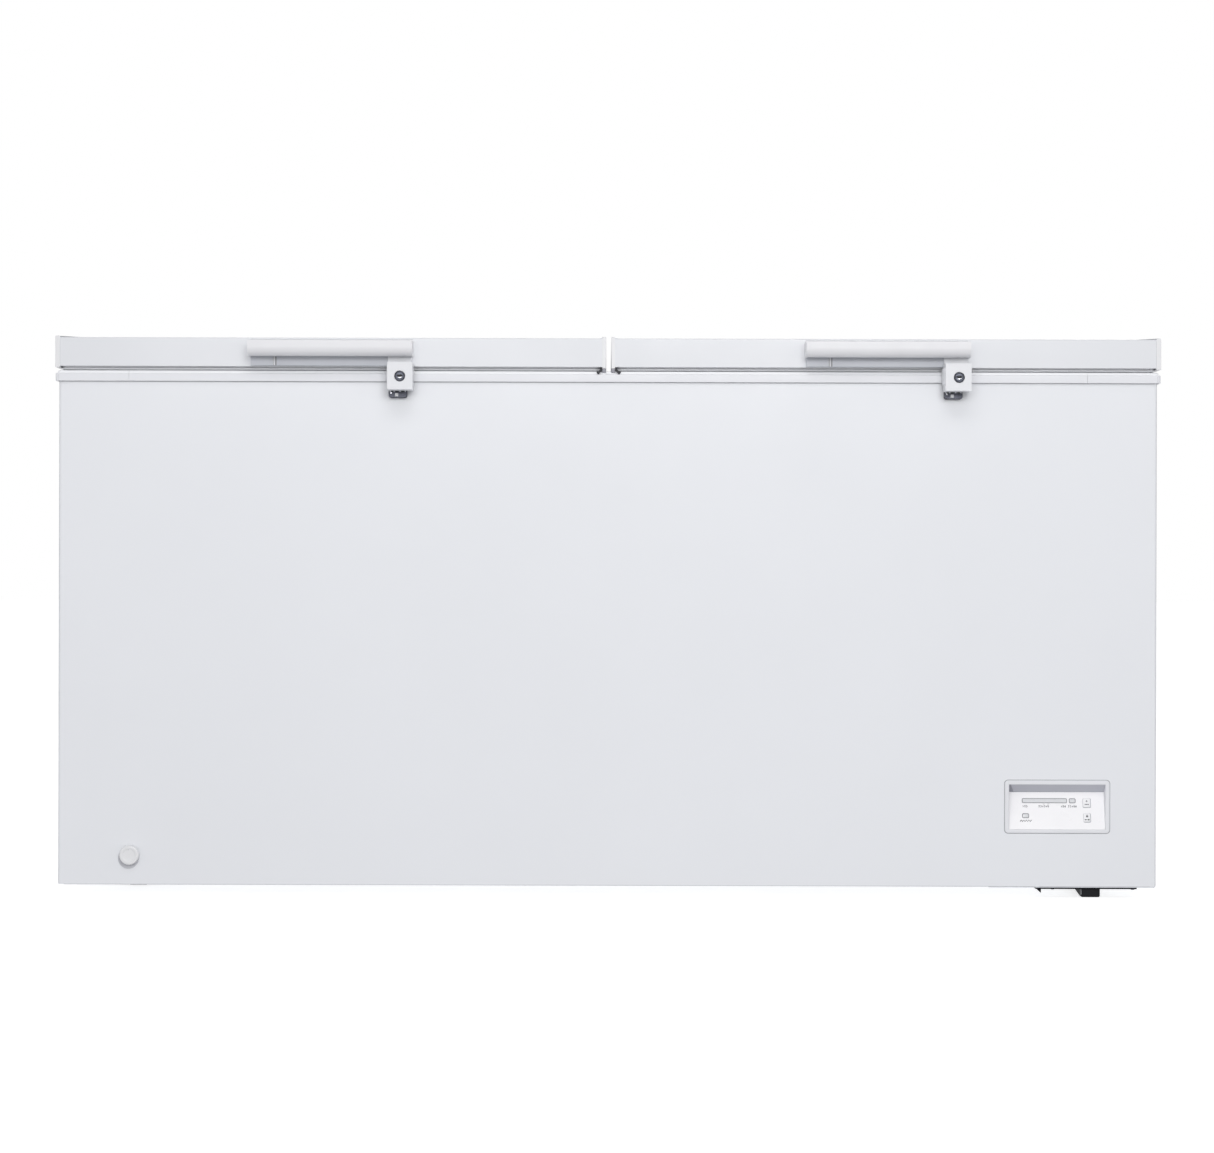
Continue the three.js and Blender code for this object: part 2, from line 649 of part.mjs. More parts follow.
function hingeBase(x) {
  const plate = box(x - 22, x + 22, CAB_BACK + GAP, CAB_BACK + 2.3, 645, RIM_BOTTOM - 2);
  const cheek = new THREE.Shape();
  cheek.moveTo(CAB_BACK + GAP, 650);
  cheek.lineTo(CAB_BACK + 16, 662);
  cheek.lineTo(PIN_Y + 10, 690);
  cheek.lineTo(PIN_Y + 10, HINGE_Z);
  cheek.absarc(PIN_Y + 0.5, HINGE_Z, 9.5, 0, Math.PI, false);
  cheek.lineTo(PIN_Y - 9, RIM_BOTTOM - 3);
  cheek.lineTo(CAB_BACK + GAP, RIM_BOTTOM - 3);
  const web = box(x - 18, x + 18, PIN_Y + 8, PIN_Y + 10, 690, 788);
  const pin = rod("x", PIN_RADIUS, x - 21, x + 21, [PIN_Y, HINGE_Z], 12);
  const cheeks = [x - 19, x + 16.5].map((x0) => alongX(cheek, x0, x0 + 2.5, 4));
  return join(plate, ...cheeks, web, pin);
}

function hingeLeaf() {
  const plate = box(-15.5, 15.5, LID_BACK + GAP, LID_BACK + 2, LID_BOTTOM + 2, LID_TOP - 2);
  const ear = new THREE.Shape();
  ear.moveTo(LID_BACK + GAP, HINGE_Z - 7.4);
  ear.lineTo(PIN_Y, HINGE_Z - 7.4);
  ear.absarc(PIN_Y, HINGE_Z, 7.4, -Math.PI / 2, Math.PI / 2, false);
  ear.lineTo(LID_BACK + GAP, HINGE_Z + 7.4);
  const eye = new THREE.Path();
  eye.absarc(PIN_Y, HINGE_Z, PIN_RADIUS + 0.4, 0, Math.PI * 2, true);
  ear.holes.push(eye);
  return join(plate, alongX(ear, -15.5, -13, 5), alongX(ear, 13, 15.5, 5));
}

for (const [name, x] of [
  ["left_outer", -LID_X - HINGE_SPREAD],
  ["left_inner", -LID_X + HINGE_SPREAD],
  ["right_inner", LID_X - HINGE_SPREAD],
  ["right_outer", LID_X + HINGE_SPREAD],
]) {
  piece("hinge_base_" + name, hingeBase(x), galvanised);
}

// ---------- lids ----------
// Everything of a lid is drawn about x = 0 and the lid's group carries it to its place.
const HALF = LID_WIDTH / 2;
const PLUG = { half: 320, front: HOLD_FRONT + 28, back: HOLD_BACK - 28, z: 783 };

function lidSkin() {
  const t = SHEET;
  const outline = (inset, r) =>
    roundedRect(-HALF + inset, HALF - inset, LID_FRONT + inset, LID_BACK - inset, r);
  const pan = cut(
    alongZ(outline(0, 6), LID_BOTTOM, LID_END_TOP + 2),
    alongZ(outline(t, 6 - t), LID_BOTTOM - 1, LID_TOP - t),
    // the top is flat in the middle and climbs to the raised ends
    alongY(
      shapeOf([
        [-HALF - 1, LID_END_TOP + 5],
        [-HALF - 1, LID_END_TOP],
        [-HALF + 6, LID_END_TOP],
        [-HALF + 7, LID_END_TOP - 0.8],
        [-HALF + 40, LID_TOP],
        [HALF - 40, LID_TOP],
        [HALF - 7, LID_END_TOP - 0.8],
        [HALF - 6, LID_END_TOP],
        [HALF + 1, LID_END_TOP],
        [HALF + 1, LID_END_TOP + 5],
      ]),
      -400,
      400,
    ),
  );
  return pan;
}

const LINER_Z = LID_BOTTOM + 3; // the lid liner's flat rim

function plugBlock(shrink, top) {
  const { half, front, back, z } = PLUG;
  const [x, y0, y1] = [half - shrink, front + shrink, back - shrink];
  const outline = roundedRect(-x, x, y0, y1, 20 - shrink);
  return alongZ(outline, z + shrink, top);
}

function lidLiner() {
  const edge = SHEET + GAP;
  const [x, y0, y1] = [HALF - edge, LID_FRONT + edge, LID_BACK - edge];
  const sheet = alongZ(roundedRect(-x, x, y0, y1, 4.5), LINER_Z, LINER_Z + 2);
  return cut(join(sheet, plugBlock(0, LINER_Z + 1)), plugBlock(1.8, LINER_Z + 10));
}

function lidFoam() {
  const edge = SHEET + 2 * GAP;
  const [x, y0, y1] = [HALF - edge, LID_FRONT + edge, LID_BACK - edge];
  const slab = box(-x + 5, x - 5, y0 + 5, y1 - 5, LINER_Z + 2 + GAP, LID_TOP - SHEET - GAP);
  return join(slab, plugBlock(2.2, LINER_Z + 5));
}

const gasketProfile = [
  [6.5, LID_BOTTOM - GAP],
  [LAND_INSET, RIM_LAND + GAP],
  [LAND_INSET + 15, RIM_LAND + GAP],
  [LAND_INSET + 15, LID_BOTTOM + 2.6],
  [6.5, LID_BOTTOM + 2.6],
];

// handle: an awning to pull up from below, with its lock at the right end
const GRIP = { half: 121.75, top: 827.2, bottom: 804.1, skin: 3 };
const GRIP_SHIFT = 2.7; // handle and lock stand this far right of the lid's middle
const LOCK = { width: 38, top: 797.8, bottom: 753.9, z: 773.8, radius: 7.7 };
const LOCK_X = GRIP.half - LOCK.width / 2;
const out = (distance) => LID_FRONT - distance; // a plane in front of the lid

function handle() {
  const { half, top, bottom, skin } = GRIP;
  const turn = HANDLE_OUT - 29; // radius of the big lower curve
  const awning = (t) => {
    const shape = new THREE.Shape();
    const [frontY, topZ] = [out(HANDLE_OUT - t), top - t];
    shape.moveTo(out(GAP), topZ);
    shape.lineTo(out(HANDLE_OUT - 5), topZ);
    shape.quadraticCurveTo(frontY, topZ, frontY, topZ - 5);
    shape.lineTo(frontY, bottom + turn);
    shape.absarc(out(29), bottom + turn, turn - t, -Math.PI, -Math.PI / 2, false);
    return shape;
  };
  const bar = awning(0);
  bar.lineTo(out(23), bottom);
  bar.lineTo(out(23), bottom + skin);
  const inner = awning(skin).getPoints(5).reverse();
  inner.forEach((p) => bar.lineTo(p.x, p.y));
  const end = awning(0);
  end.lineTo(out(GAP), LID_BOTTOM + 0.5);
  const post = (x0, x1, deep) => box(x0, x1, out(deep), out(GAP), LID_BOTTOM + 0.5, top - 1);
  return join(
    alongX(bar, -half, half, 3),
    alongX(end, -half, -half + 3, 3),
    alongX(awningEnd(awning), half - 3, half, 3),
    post(-half + 2.5, -half + 33, 11),
    post(-half + 33, -half + 38.5, 6),
    box(half - LOCK.width, half, out(30), out(GAP), LOCK.top + GAP, top - 1),
  );
}

// the right end closes down to the lock only
function awningEnd(awning) {
  const end = awning(0);
  end.lineTo(out(30), LOCK.top + 5);
  end.lineTo(out(GAP), LOCK.top + 5);
  return end;
}

function lockHousing() {
  const [x0, x1] = [GRIP.half - LOCK.width, GRIP.half];
  const t = 2.5;
  const shell = cut(
    box(x0, x1, out(HANDLE_OUT), out(8), LOCK.bottom, LOCK.top),
    box(x0 + t, x1 - t, out(HANDLE_OUT - t), out(0), LOCK.bottom + t, LOCK.top - t),
    rod("y", LOCK.radius + 0.4, out(HANDLE_OUT + 5), out(20), [LOCK_X, LOCK.z]),
  );
  const tongue = box(x0, x1, out(12), out(GAP), LID_BOTTOM + 1, LOCK.top);
  return join(shell, tongue);
}

function lockCylinder() {
  const barrel = rod("y", LOCK.radius, out(HANDLE_OUT), out(4.3), [LOCK_X, LOCK.z]);
  const keyway = box(
    LOCK_X - 4.6,
    LOCK_X + 4.6,
    out(HANDLE_OUT + 5),
    out(HANDLE_OUT - 11),
    LOCK.z - 1.1,
    LOCK.z + 1.1,
  );
  return cut(barrel, keyway);
}

// drawn unlocked, arm to the right; a quarter turn brings its foot under the keeper's lip
function lockCam() {
  const [y0, y1] = [out(4), out(1.5)];
  const [x, z] = [LOCK_X, LOCK.z];
  return join(
    rod("y", 6, y0, y1, [x, z], 16),
    box(x, x + 18, y0, y1, z - 3.5, z + 3.5),
    box(x + 13.3, x + 18, y0, y1, z - 12, z),
  );
}

const KEEPER = { half: 14.6, z0: 742.4, z1: 763, shift: -4, front: 7, lip: 761.2 };

function keeper(lidX) {
  const x = lidX + LOCK_X + KEEPER.shift;
  const { half, z0, z1 } = KEEPER;
  const plateShape = () => roundedRect(x - half, x + half, z0, z1, 3.6);
  const back = CAB_FRONT - GAP;
  const front = alongY(plateShape(), out(KEEPER.front), out(KEEPER.front - 1.5));
  const rear = alongY(plateShape(), back - 1.5, back);
  const side = box(x - half, x - half + 1.5, out(KEEPER.front - 1), back - 1, z0 + 3, z1 - 2);
  const floor = box(x - half + 3, x + half - 3, out(KEEPER.front - 1), back - 1, z0, z0 + 1.5);
  const lip = box(x - half + 1, x - 1, out(KEEPER.front - 1), back - 1, KEEPER.lip, z1);
  const window = box(x - 3.2, x + 3.2, out(20), back + 5, z0 + 2, z0 + 7.5);
  return cut(join(front, rear, side, floor, lip), window);
}

for (const [name, x] of [
  ["left", -LID_X],
  ["right", LID_X],
]) {
  const lid = new THREE.Group();
  lid.position.x = x;
  freezer.add(lid);
  piece("lid_skin_" + name, lidSkin(), whiteSteel, lid);
  piece("lid_foam_" + name, lidFoam(), foam, lid);
  piece("lid_liner_" + name, lidLiner(), whitePlastic, lid);
  piece(
    "lid_gasket_" + name,
    mitredRing(gasketProfile, 0, LID_Y, HALF, LID_DEPTH / 2),
    gasketGrey,
    lid,
  );
  const grip = new THREE.Group();
  grip.position.x = GRIP_SHIFT;
  lid.add(grip);
  piece("handle_" + name, handle(), whitePlastic, grip);
  piece("lock_housing_" + name, lockHousing(), whitePlastic, grip);
  piece("lock_cylinder_" + name, lockCylinder(), darkChrome, grip);
  piece("lock_cam_" + name, lockCam(), darkChrome, grip);
  for (const [side, sign] of [
    ["west", -1],
    ["east", 1],
  ]) {
    const leaf = piece("hinge_leaf_" + name + "_" + side, hingeLeaf(), galvanised, lid);
    leaf.position.x = sign * HINGE_SPREAD;
  }
  piece("keeper_" + name, keeper(x + GRIP_SHIFT), darkChrome);
}

export default freezer;
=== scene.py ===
"""The chest freezer's looks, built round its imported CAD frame. Metres, +Z up, front towards -Y."""
import math

import bmesh
import bpy
from mathutils import Matrix, Vector


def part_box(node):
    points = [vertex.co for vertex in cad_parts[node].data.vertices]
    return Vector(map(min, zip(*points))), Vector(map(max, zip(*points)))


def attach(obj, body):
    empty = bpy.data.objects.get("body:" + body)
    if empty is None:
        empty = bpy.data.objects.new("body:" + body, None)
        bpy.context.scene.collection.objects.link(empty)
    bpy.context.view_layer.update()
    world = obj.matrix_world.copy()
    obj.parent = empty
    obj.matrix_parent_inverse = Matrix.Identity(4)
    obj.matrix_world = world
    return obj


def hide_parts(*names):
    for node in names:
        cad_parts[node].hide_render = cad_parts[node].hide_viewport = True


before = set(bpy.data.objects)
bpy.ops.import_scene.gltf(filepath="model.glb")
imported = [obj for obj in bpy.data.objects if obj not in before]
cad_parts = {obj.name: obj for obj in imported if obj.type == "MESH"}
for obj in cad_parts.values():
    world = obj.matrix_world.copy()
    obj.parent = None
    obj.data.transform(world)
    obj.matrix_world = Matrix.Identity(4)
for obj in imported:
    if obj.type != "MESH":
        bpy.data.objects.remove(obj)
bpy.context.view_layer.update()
MM = 0.001


# ---------------------------------------------------------------- materials
class Nodes:
    """A short way to write a node tree."""

    def __init__(self, name):
        self.material = bpy.data.materials.new(name)
        self.material.use_nodes = True
        self.tree = self.material.node_tree
        self.shader = self.tree.nodes["Principled BSDF"]
        self.place = self.add("ShaderNodeTexCoord").outputs["Object"]

    def add(self, kind, inputs=None, **settings):
        node = self.tree.nodes.new(kind)
        for key, value in settings.items():
            setattr(node, key, value)
        for key, value in (inputs or {}).items():
            self.set(node.inputs[key], value)
        return node

    def set(self, socket, value):
        if isinstance(value, bpy.types.NodeSocket):
            self.tree.links.new(value, socket)
        else:
            socket.default_value = value

    def noise(self, scale, detail=3.0, rough=0.5, stretch=(1, 1, 1)):
        place = self.place
        if stretch != (1, 1, 1):
            place = self.add("ShaderNodeMapping", {"Vector": self.place, "Scale": stretch}).outputs[0]
        inputs = {"Vector": place, "Scale": scale, "Detail": detail, "Roughness": rough}
        return self.add("ShaderNodeTexNoise", inputs).outputs["Fac"]

    def span(self, value, low, high, source=(0.3, 0.7)):
        limits = {"From Min": source[0], "From Max": source[1], "To Min": low, "To Max": high}
        return self.add("ShaderNodeMapRange", {"Value": value, **limits}).outputs[0]

    def blend(self, factor, a, b):
        mix = self.add("ShaderNodeMix", data_type="RGBA")
        self.set(mix.inputs[0], factor)
        self.set(mix.inputs[6], (*a, 1))
        self.set(mix.inputs[7], (*b, 1))
        return mix.outputs[2]

    def mottle(self, factor, color, dark, light):
        """The colour, between a darker and a lighter share of itself."""
        return self.blend(factor, shade(color, dark), shade(color, light))

    def bump(self, height, distance, strength=1.0, under=None):
        inputs = {"Height": height, "Distance": distance, "Strength": strength}
        if under is not None:
            inputs["Normal"] = under
        return self.add("ShaderNodeBump", inputs).outputs[0]

    def finish(self, **sockets):
        for key, value in sockets.items():
            name = key.replace("_", " ")
            self.set(self.shader.inputs[name], (*value, 1) if isinstance(value, tuple) else value)
        return self.material


def shade(color, amount):
    return tuple(c * amount for c in color)


def painted(name, color, rough=0.34, peel=900, depth=0.000012, wave=0.0, coat=0.25):
    """Paint or enamel: orange peel, a trace of unevenness, faint dusting; wave is sheet-metal buckle."""
    n = Nodes(name)
    tone = n.noise(2.2, 4, 0.6)
    skin = n.bump(n.noise(peel, 2, 0.4), depth)
    if wave:
        skin = n.bump(n.noise(1.7, 1, 0.3), wave, 1.0, skin)
    return n.finish(
        Base_Color=n.mottle(n.span(tone, 0, 1), color, 0.985, 1.01),
        Roughness=n.span(n.noise(14, 5, 0.65), rough - 0.04, rough + 0.06),
        Normal=skin,
        Coat_Weight=coat,
        Coat_Roughness=0.12,
    )


def moulded(name, color, rough=0.42, grain=1800, depth=0.00001, sheen=0.0, shine=0.5):
    """Moulded plastic: fine spark-eroded grain and slightly uneven gloss."""
    n = Nodes(name)
    return n.finish(
        Base_Color=n.mottle(n.span(n.noise(9, 4, 0.6), 0, 1), color, 0.98, 1.015),
        Roughness=n.span(n.noise(60, 4, 0.6), rough - 0.05, rough + 0.07),
        Normal=n.bump(n.noise(grain, 2, 0.5), depth),
        Sheen_Weight=sheen,
        Specular_IOR_Level=shine,
        IOR=1.47,
    )


def metal(name, color, rough=0.3, stretch=(1, 1, 1), scratch=700, depth=0.000006, spot=120):
    """Bare or plated metal: patches of tone and fine scratches along one way."""
    n = Nodes(name)
    lines = n.noise(scratch, 3, 0.7, stretch)
    return n.finish(
        Base_Color=n.mottle(n.span(n.noise(spot, 3, 0.6), 0, 1), color, 0.86, 1.08),
        Roughness=n.span(lines, rough - 0.07, rough + 0.12),
        Metallic=1.0,
        Normal=n.bump(lines, depth),
    )


def stucco(name, color):
    """Embossed aluminium sheet: a crazed relief a few millimetres across."""
    n = Nodes(name)
    inputs = {"Vector": n.place, "Scale": 240.0, "Randomness": 1.0}
    cells = n.add("ShaderNodeTexVoronoi", inputs, feature="SMOOTH_F1").outputs["Distance"]
    swirl = n.noise(150, 3, 0.6)
    return n.finish(
        Base_Color=n.mottle(n.span(swirl, 0, 1), color, 0.9, 1.04),
        Roughness=n.span(swirl, 0.3, 0.46),
        Metallic=0.85,
        Normal=n.bump(cells, 0.0006, 0.6, n.bump(swirl, 0.0003, 0.5)),
    )


def foamed(name, color):
    """Rigid foam: small open cells."""
    n = Nodes(name)
    cells = n.add("ShaderNodeTexVoronoi", {"Vector": n.place, "Scale": 420.0}).outputs["Distance"]
    return n.finish(
        Base_Color=n.mottle(n.span(n.noise(30, 4), 0, 1), color, 0.86, 1.06),
        Roughness=n.span(cells, 0.8, 0.98, (0, 1)),
        Normal=n.bump(cells, 0.0008, 0.7),
    )


def board(name):
    """A circuit board: green lacquer between gold tracks."""
    n = Nodes(name)
    greens = {"Color1": (0.02, 0.12, 0.05, 1), "Color2": (0.03, 0.17, 0.07, 1)}
    tracks = {"Mortar": (0.35, 0.28, 0.1, 1), "Mortar Size": 0.012}
    brick = n.add("ShaderNodeTexBrick", {"Vector": n.place, "Scale": 90.0, **greens, **tracks})
    return n.finish(Base_Color=brick.outputs[0], Roughness=n.span(n.noise(50), 0.3, 0.5))


def ribbed_lens(name, color):
    """Unlit light window: pale grey over fine upright ribs."""
    n = Nodes(name)
    inputs = {"Vector": n.place, "Scale": 190.0, "Distortion": 0.3}
    wave = n.add("ShaderNodeTexWave", inputs, bands_direction="X").outputs["Fac"]
    return n.finish(
        Base_Color=n.mottle(n.span(wave, 0, 1, (0, 1)), color, 0.93, 1.04),
        Roughness=n.span(n.noise(90), 0.22, 0.36),
        Normal=n.bump(wave, 0.00008, 0.5),
        Coat_Weight=0.5,
    )


WHITE = (0.83, 0.845, 0.875)
NEAR_BLACK = (0.006, 0.0065, 0.009)
enamel = painted("cabinet enamel", WHITE, rough=0.36, wave=0.0002)
# the lids' white is the cabinet's white made darker, painted shade against the extra light from above
lid_painted_shade_enamel = painted("lid enamel painted shade", shade(WHITE, 0.925), rough=0.33, wave=0.00012)
trim = moulded("white trim moulding", (0.815, 0.825, 0.855), rough=0.36)
trim_painted_highlight = moulded("rim bead painted highlight", (0.95, 0.96, 0.98), rough=0.36)
hood_painted_shade = moulded("panel hood painted shade", (0.57, 0.58, 0.635), rough=0.45)
hood_wall_painted_shade = moulded("panel hood corner painted shade", (0.36, 0.365, 0.415), rough=0.5)
handle_backing_painted_shade = moulded("handle backing painted shade", (0.60, 0.62, 0.665), rough=0.4)
cap_white = moulded("end cap moulding", (0.82, 0.825, 0.835), rough=0.34)
handle_white = moulded("handle moulding", (0.83, 0.83, 0.85), rough=0.34, grain=1400)
housing_white = moulded("lock housing moulding", (0.805, 0.815, 0.84), rough=0.36)
face_white = moulded("panel face moulding", (0.97, 0.965, 0.98), rough=0.3)
liner_white = moulded("lid liner moulding", (0.86, 0.87, 0.88), rough=0.34, grain=900, depth=0.000015)
key_white = moulded("key moulding", (0.93, 0.93, 0.945), rough=0.32)
frame_grey = moulded("window frame print", (0.27, 0.275, 0.29), rough=0.5)
print_grey = moulded("printed grey", (0.10, 0.105, 0.115), rough=0.5)
groove_and_painted_light_grey = moulded("groove and painted light grey", (0.36, 0.37, 0.39), rough=0.5)
corner_painted_shade = painted("corner enamel painted shade", (0.62, 0.635, 0.66), rough=0.4)
seam_and_painted_shade_grey = moulded("seam and painted shade grey", (0.60, 0.61, 0.63), rough=0.5)
dial_painted_shadow = moulded("dial collar painted shadow", (0.58, 0.585, 0.62), rough=0.5)
key_gap_painted_shadow = moulded("key gap and painted shadow grey", (0.42, 0.43, 0.46), rough=0.5)
gasket_vinyl = moulded("gasket vinyl", (0.90, 0.905, 0.925), rough=0.55, grain=900, sheen=0.2)
gasket_painted_shade = moulded("gasket shadow vinyl", (0.60, 0.61, 0.63), rough=0.6, grain=900)
gasket_end = moulded("gasket end vinyl", (0.33, 0.33, 0.37), rough=0.55, grain=900)
dark_rubber = moulded("dark rubber", (0.03, 0.03, 0.036), rough=0.6, grain=700, depth=0.00003)
black_plastic = moulded("black moulding", NEAR_BLACK, rough=0.45, grain=900, depth=0.00003, shine=0.2)
matt_black = moulded("matt black moulding", NEAR_BLACK, rough=0.6, grain=900, shine=0.12)
lock_metal = metal("lock metal", (0.085, 0.09, 0.11), rough=0.32, scratch=900)
keeper_metal = metal("keeper plate", (0.06, 0.062, 0.076), rough=0.24, stretch=(1, 1, 6))
bright_metal = metal("bright steel", (0.78, 0.79, 0.82), rough=0.22)
zinc = metal("zinc plate", (0.56, 0.58, 0.61), rough=0.36, spot=45, stretch=(1, 8, 1))
copper_tube = metal("copper tube", (0.72, 0.36, 0.2), rough=0.3)
compressor_black = painted("compressor enamel", (0.02, 0.021, 0.024), rough=0.3, depth=0.00004)
liner_metal = stucco("embossed aluminium", (0.80, 0.81, 0.82))
insulation = foamed("rigid foam", (0.80, 0.70, 0.42))
circuit = board("circuit board")
lens = ribbed_lens("light window", (0.73, 0.74, 0.76))
wire_white = moulded("coated wire", (0.84, 0.85, 0.86), rough=0.32, grain=300, depth=0.00003)
hollow_painted_shade = moulded("keyway shadow", (0.015, 0.016, 0.018), rough=0.6)


# ---------------------------------------------------------------- mesh tools
PLACE = {
    "x": lambda a, b, t: (t, a, b),
    "y": lambda a, b, t: (a, t, b),
    "z": lambda a, b, t: (a, b, t),
}


def mm(*values):
    return [value * MM for value in values]


def near(a, b, *steps):
    """Outline points that lie the given millimetres from (a, b)."""
    return [(a + da * MM, b + db * MM) for da, db in steps]


def arc(a, b, radius, start, end, steps):
    """Points of an arc in a plane; angles in degrees."""
    angles = [math.radians(start + (end - start) * i / steps) for i in range(steps + 1)]
    return [(a + radius * math.cos(t), b + radius * math.sin(t)) for t in angles]


def circle(a, b, radius, sides):
    return arc(a, b, radius, 0, 360 - 360 / sides, sides - 1)


def rounded(points, radii, steps=5):
    """A closed outline with its corners rounded; radii is one number or one per corner."""
    count = len(points)
    radii = radii if isinstance(radii, (list, tuple)) else [radii] * count
    out = []
    for i, radius in enumerate(radii):
        here = Vector(points[i])
        before, after = Vector(points[i - 1]) - here, Vector(points[(i + 1) % count]) - here
        if radius <= 0:
            out.append(tuple(here))
            continue
        u, v = before.normalized(), after.normalized()
        half = u.angle(v) / 2
        reach = min(radius / math.tan(half), before.length * 0.49, after.length * 0.49)
        real = reach * math.tan(half)
        centre = here + (u + v).normalized() * (real / math.sin(half))
        p, q = here + u * reach - centre, here + v * reach - centre
        turn = p.angle_signed(q)
        for k in range(steps + 1):
            t = -turn * k / steps
            c, s = math.cos(t), math.sin(t)
            out.append((centre.x + p.x * c - p.y * s, centre.y + p.x * s + p.y * c))
    return out


def rect(a0, a1, b0, b1, radius=0.0, steps=5):
    return rounded([(a0, b0), (a1, b0), (a1, b1), (a0, b1)], radius, steps)


def oblong(a, b, half_a, half_b, radius=0.0, steps=5):
    """A rectangle round (a, b); its half sizes and its corner radius are in millimetres."""
    half_a, half_b = half_a * MM, half_b * MM
    return rect(a - half_a, a + half_a, b - half_b, b + half_b, radius * MM, steps)


def skin(bm, loops, closed=False):
    """Faces between each loop of vertices and the next; a loop may be a single vertex."""
    for one, two in list(zip(loops, loops[1:])) + ([(loops[-1], loops[0])] if closed else []):
        sides = max(len(one), len(two))
        for i in range(sides):
            j = (i + 1) % sides
            corners = [one[i % len(one)], one[j % len(one)], two[j % len(two)], two[i % len(two)]]
            corners = list(dict.fromkeys(corners))
            if len(corners) > 2:
                bm.faces.new(corners)


def face_out(bm):
    bmesh.ops.recalc_face_normals(bm, faces=bm.faces)
    return bm


def stack(axis, layers, steps=6, closed=False, caps=()):
    """A skin over rounded rectangles: (a0, a1, b0, b1, corner radius, place along the axis) each."""
    bm = bmesh.new()
    loops = []
    for a0, a1, b0, b1, radius, t in layers:
        outline = rect(a0, a1, b0, b1, radius, steps)
        loops.append([bm.verts.new(PLACE[axis](a, b, t)) for a, b in outline])
    skin(bm, loops, closed)
    for which in caps:
        bm.faces.new(loops[which])
    return face_out(bm)


def ring(profile, x0, x1, y0, y1, radius, closed=True, steps=6, caps=()):
    """A profile of (inset, z) carried round a rounded rectangle; radius(inset) is its corner's."""
    layers = [(x0 + d, x1 - d, y0 + d, y1 - d, radius(d), z) for d, z in profile]
    return stack("z", layers, steps, closed, caps)


def soften(bm, bevel, steps=2, angle=30):
    """Bevels the sharp edges."""
    limit = math.radians(angle)
    edges = [e for e in bm.edges if len(e.link_faces) == 2 and e.calc_face_angle(0) > limit]
    how = dict(offset=bevel, segments=steps, profile=0.5, affect="EDGES", clamp_overlap=True)
    if edges:
        bmesh.ops.bevel(bm, geom=edges, **how)


def prism(outline, axis, low, high, bevel=0.0, steps=2, angle=30):
    bm = bmesh.new()
    ends = [[bm.verts.new(PLACE[axis](a, b, t)) for a, b in outline] for t in (low, high)]
    bm.faces.new(ends[0])
    bm.faces.new(ends[1])
    skin(bm, ends)
    face_out(bm)
    if bevel:
        soften(bm, bevel, steps, angle)
    return bm


def block(low, high, bevel=0.0, steps=2):
    return prism(rect(low[0], high[0], low[1], high[1]), "z", low[2], high[2], bevel, steps)


def rod(axis, radius, low, high, centre, sides=24, bevel=0.0):
    return prism(circle(*centre, radius, sides), axis, low, high, bevel, 2, 40)


def turned(profile, axis, centre, sides=40):
    """A profile of (radius, place along the axis) turned round it; radius 0 closes an end."""
    bm = bmesh.new()
    loops = []
    for radius, t in profile:
        loop = circle(*centre, radius, sides) if radius > 0 else [centre]
        loops.append([bm.verts.new(PLACE[axis](a, b, t)) for a, b in loop])
    skin(bm, loops)
    return face_out(bm)


def tube(points, radius, sides=8, closed=False):
    """A round bar along a line of points."""
    bm = bmesh.new()
    points = [Vector(p) for p in points]
    count = len(points)
    loops, normal = [], None
    for i, p in enumerate(points):
        before = points[i - 1] if (i or closed) else p
        after = points[(i + 1) % count] if (i < count - 1 or closed) else p
        onward = (after - before).normalized()
        if normal is None:
            normal = onward.orthogonal().normalized()
        normal = (normal - onward * normal.dot(onward)).normalized()
        side = onward.cross(normal)
        turns = [2 * math.pi * k / sides for k in range(sides)]
        loop = [p + (normal * math.cos(t) + side * math.sin(t)) * radius for t in turns]
        loops.append([bm.verts.new(v) for v in loop])
    skin(bm, loops, closed)
    if not closed:
        bm.faces.new(loops[0])
        bm.faces.new(loops[-1])
    return face_out(bm)


def bent(points, radii, steps=4):
    """A line of 3-D points with its inner corners rounded."""
    out = [Vector(points[0])]
    for i in range(1, len(points) - 1):
        here = Vector(points[i])
        u, v = (Vector(points[i - 1]) - here), (Vector(points[i + 1]) - here)
        reach = min(radii, u.length * 0.45, v.length * 0.45)
        a, b = here + u.normalized() * reach, here + v.normalized() * reach
        for k in range(steps + 1):
            t = k / steps
            out.append(a * (1 - t) ** 2 + here * 2 * t * (1 - t) + b * t**2)
    out.append(Vector(points[-1]))
    return out


def slice_off(bm, point, normal):
    """Cuts away what lies on the normal's side of a plane and closes the cut."""
    geom = bm.verts[:] + bm.edges[:] + bm.faces[:]
    plane = dict(plane_co=point, plane_no=normal)
    found = bmesh.ops.bisect_plane(bm, geom=geom, clear_outer=True, dist=1e-7, **plane)
    edges = [g for g in found["geom_cut"] if isinstance(g, bmesh.types.BMEdge)]
    bmesh.ops.triangle_fill(bm, edges=edges, use_beauty=True, use_dissolve=True)
    return face_out(bm)


def slice_open(bm, point, normal, low_part):
    """Removes the faces on the normal's side of a plane that lie below a height."""
    for co, no in ((point, normal), ((0, 0, low_part), (0, 0, 1))):
        geom = bm.verts[:] + bm.edges[:] + bm.faces[:]
        bmesh.ops.bisect_plane(bm, geom=geom, plane_co=co, plane_no=no, dist=1e-7)
    gone = []
    for f in bm.faces:
        c = f.calc_center_median()
        if (c - Vector(point)).dot(Vector(normal)) > 0 and c.z < low_part:
            gone.append(f)
    bmesh.ops.delete(bm, geom=gone, context="FACES_ONLY")


def linked(name, data):
    obj = bpy.data.objects.new(name, data)
    bpy.context.scene.collection.objects.link(obj)
    return obj


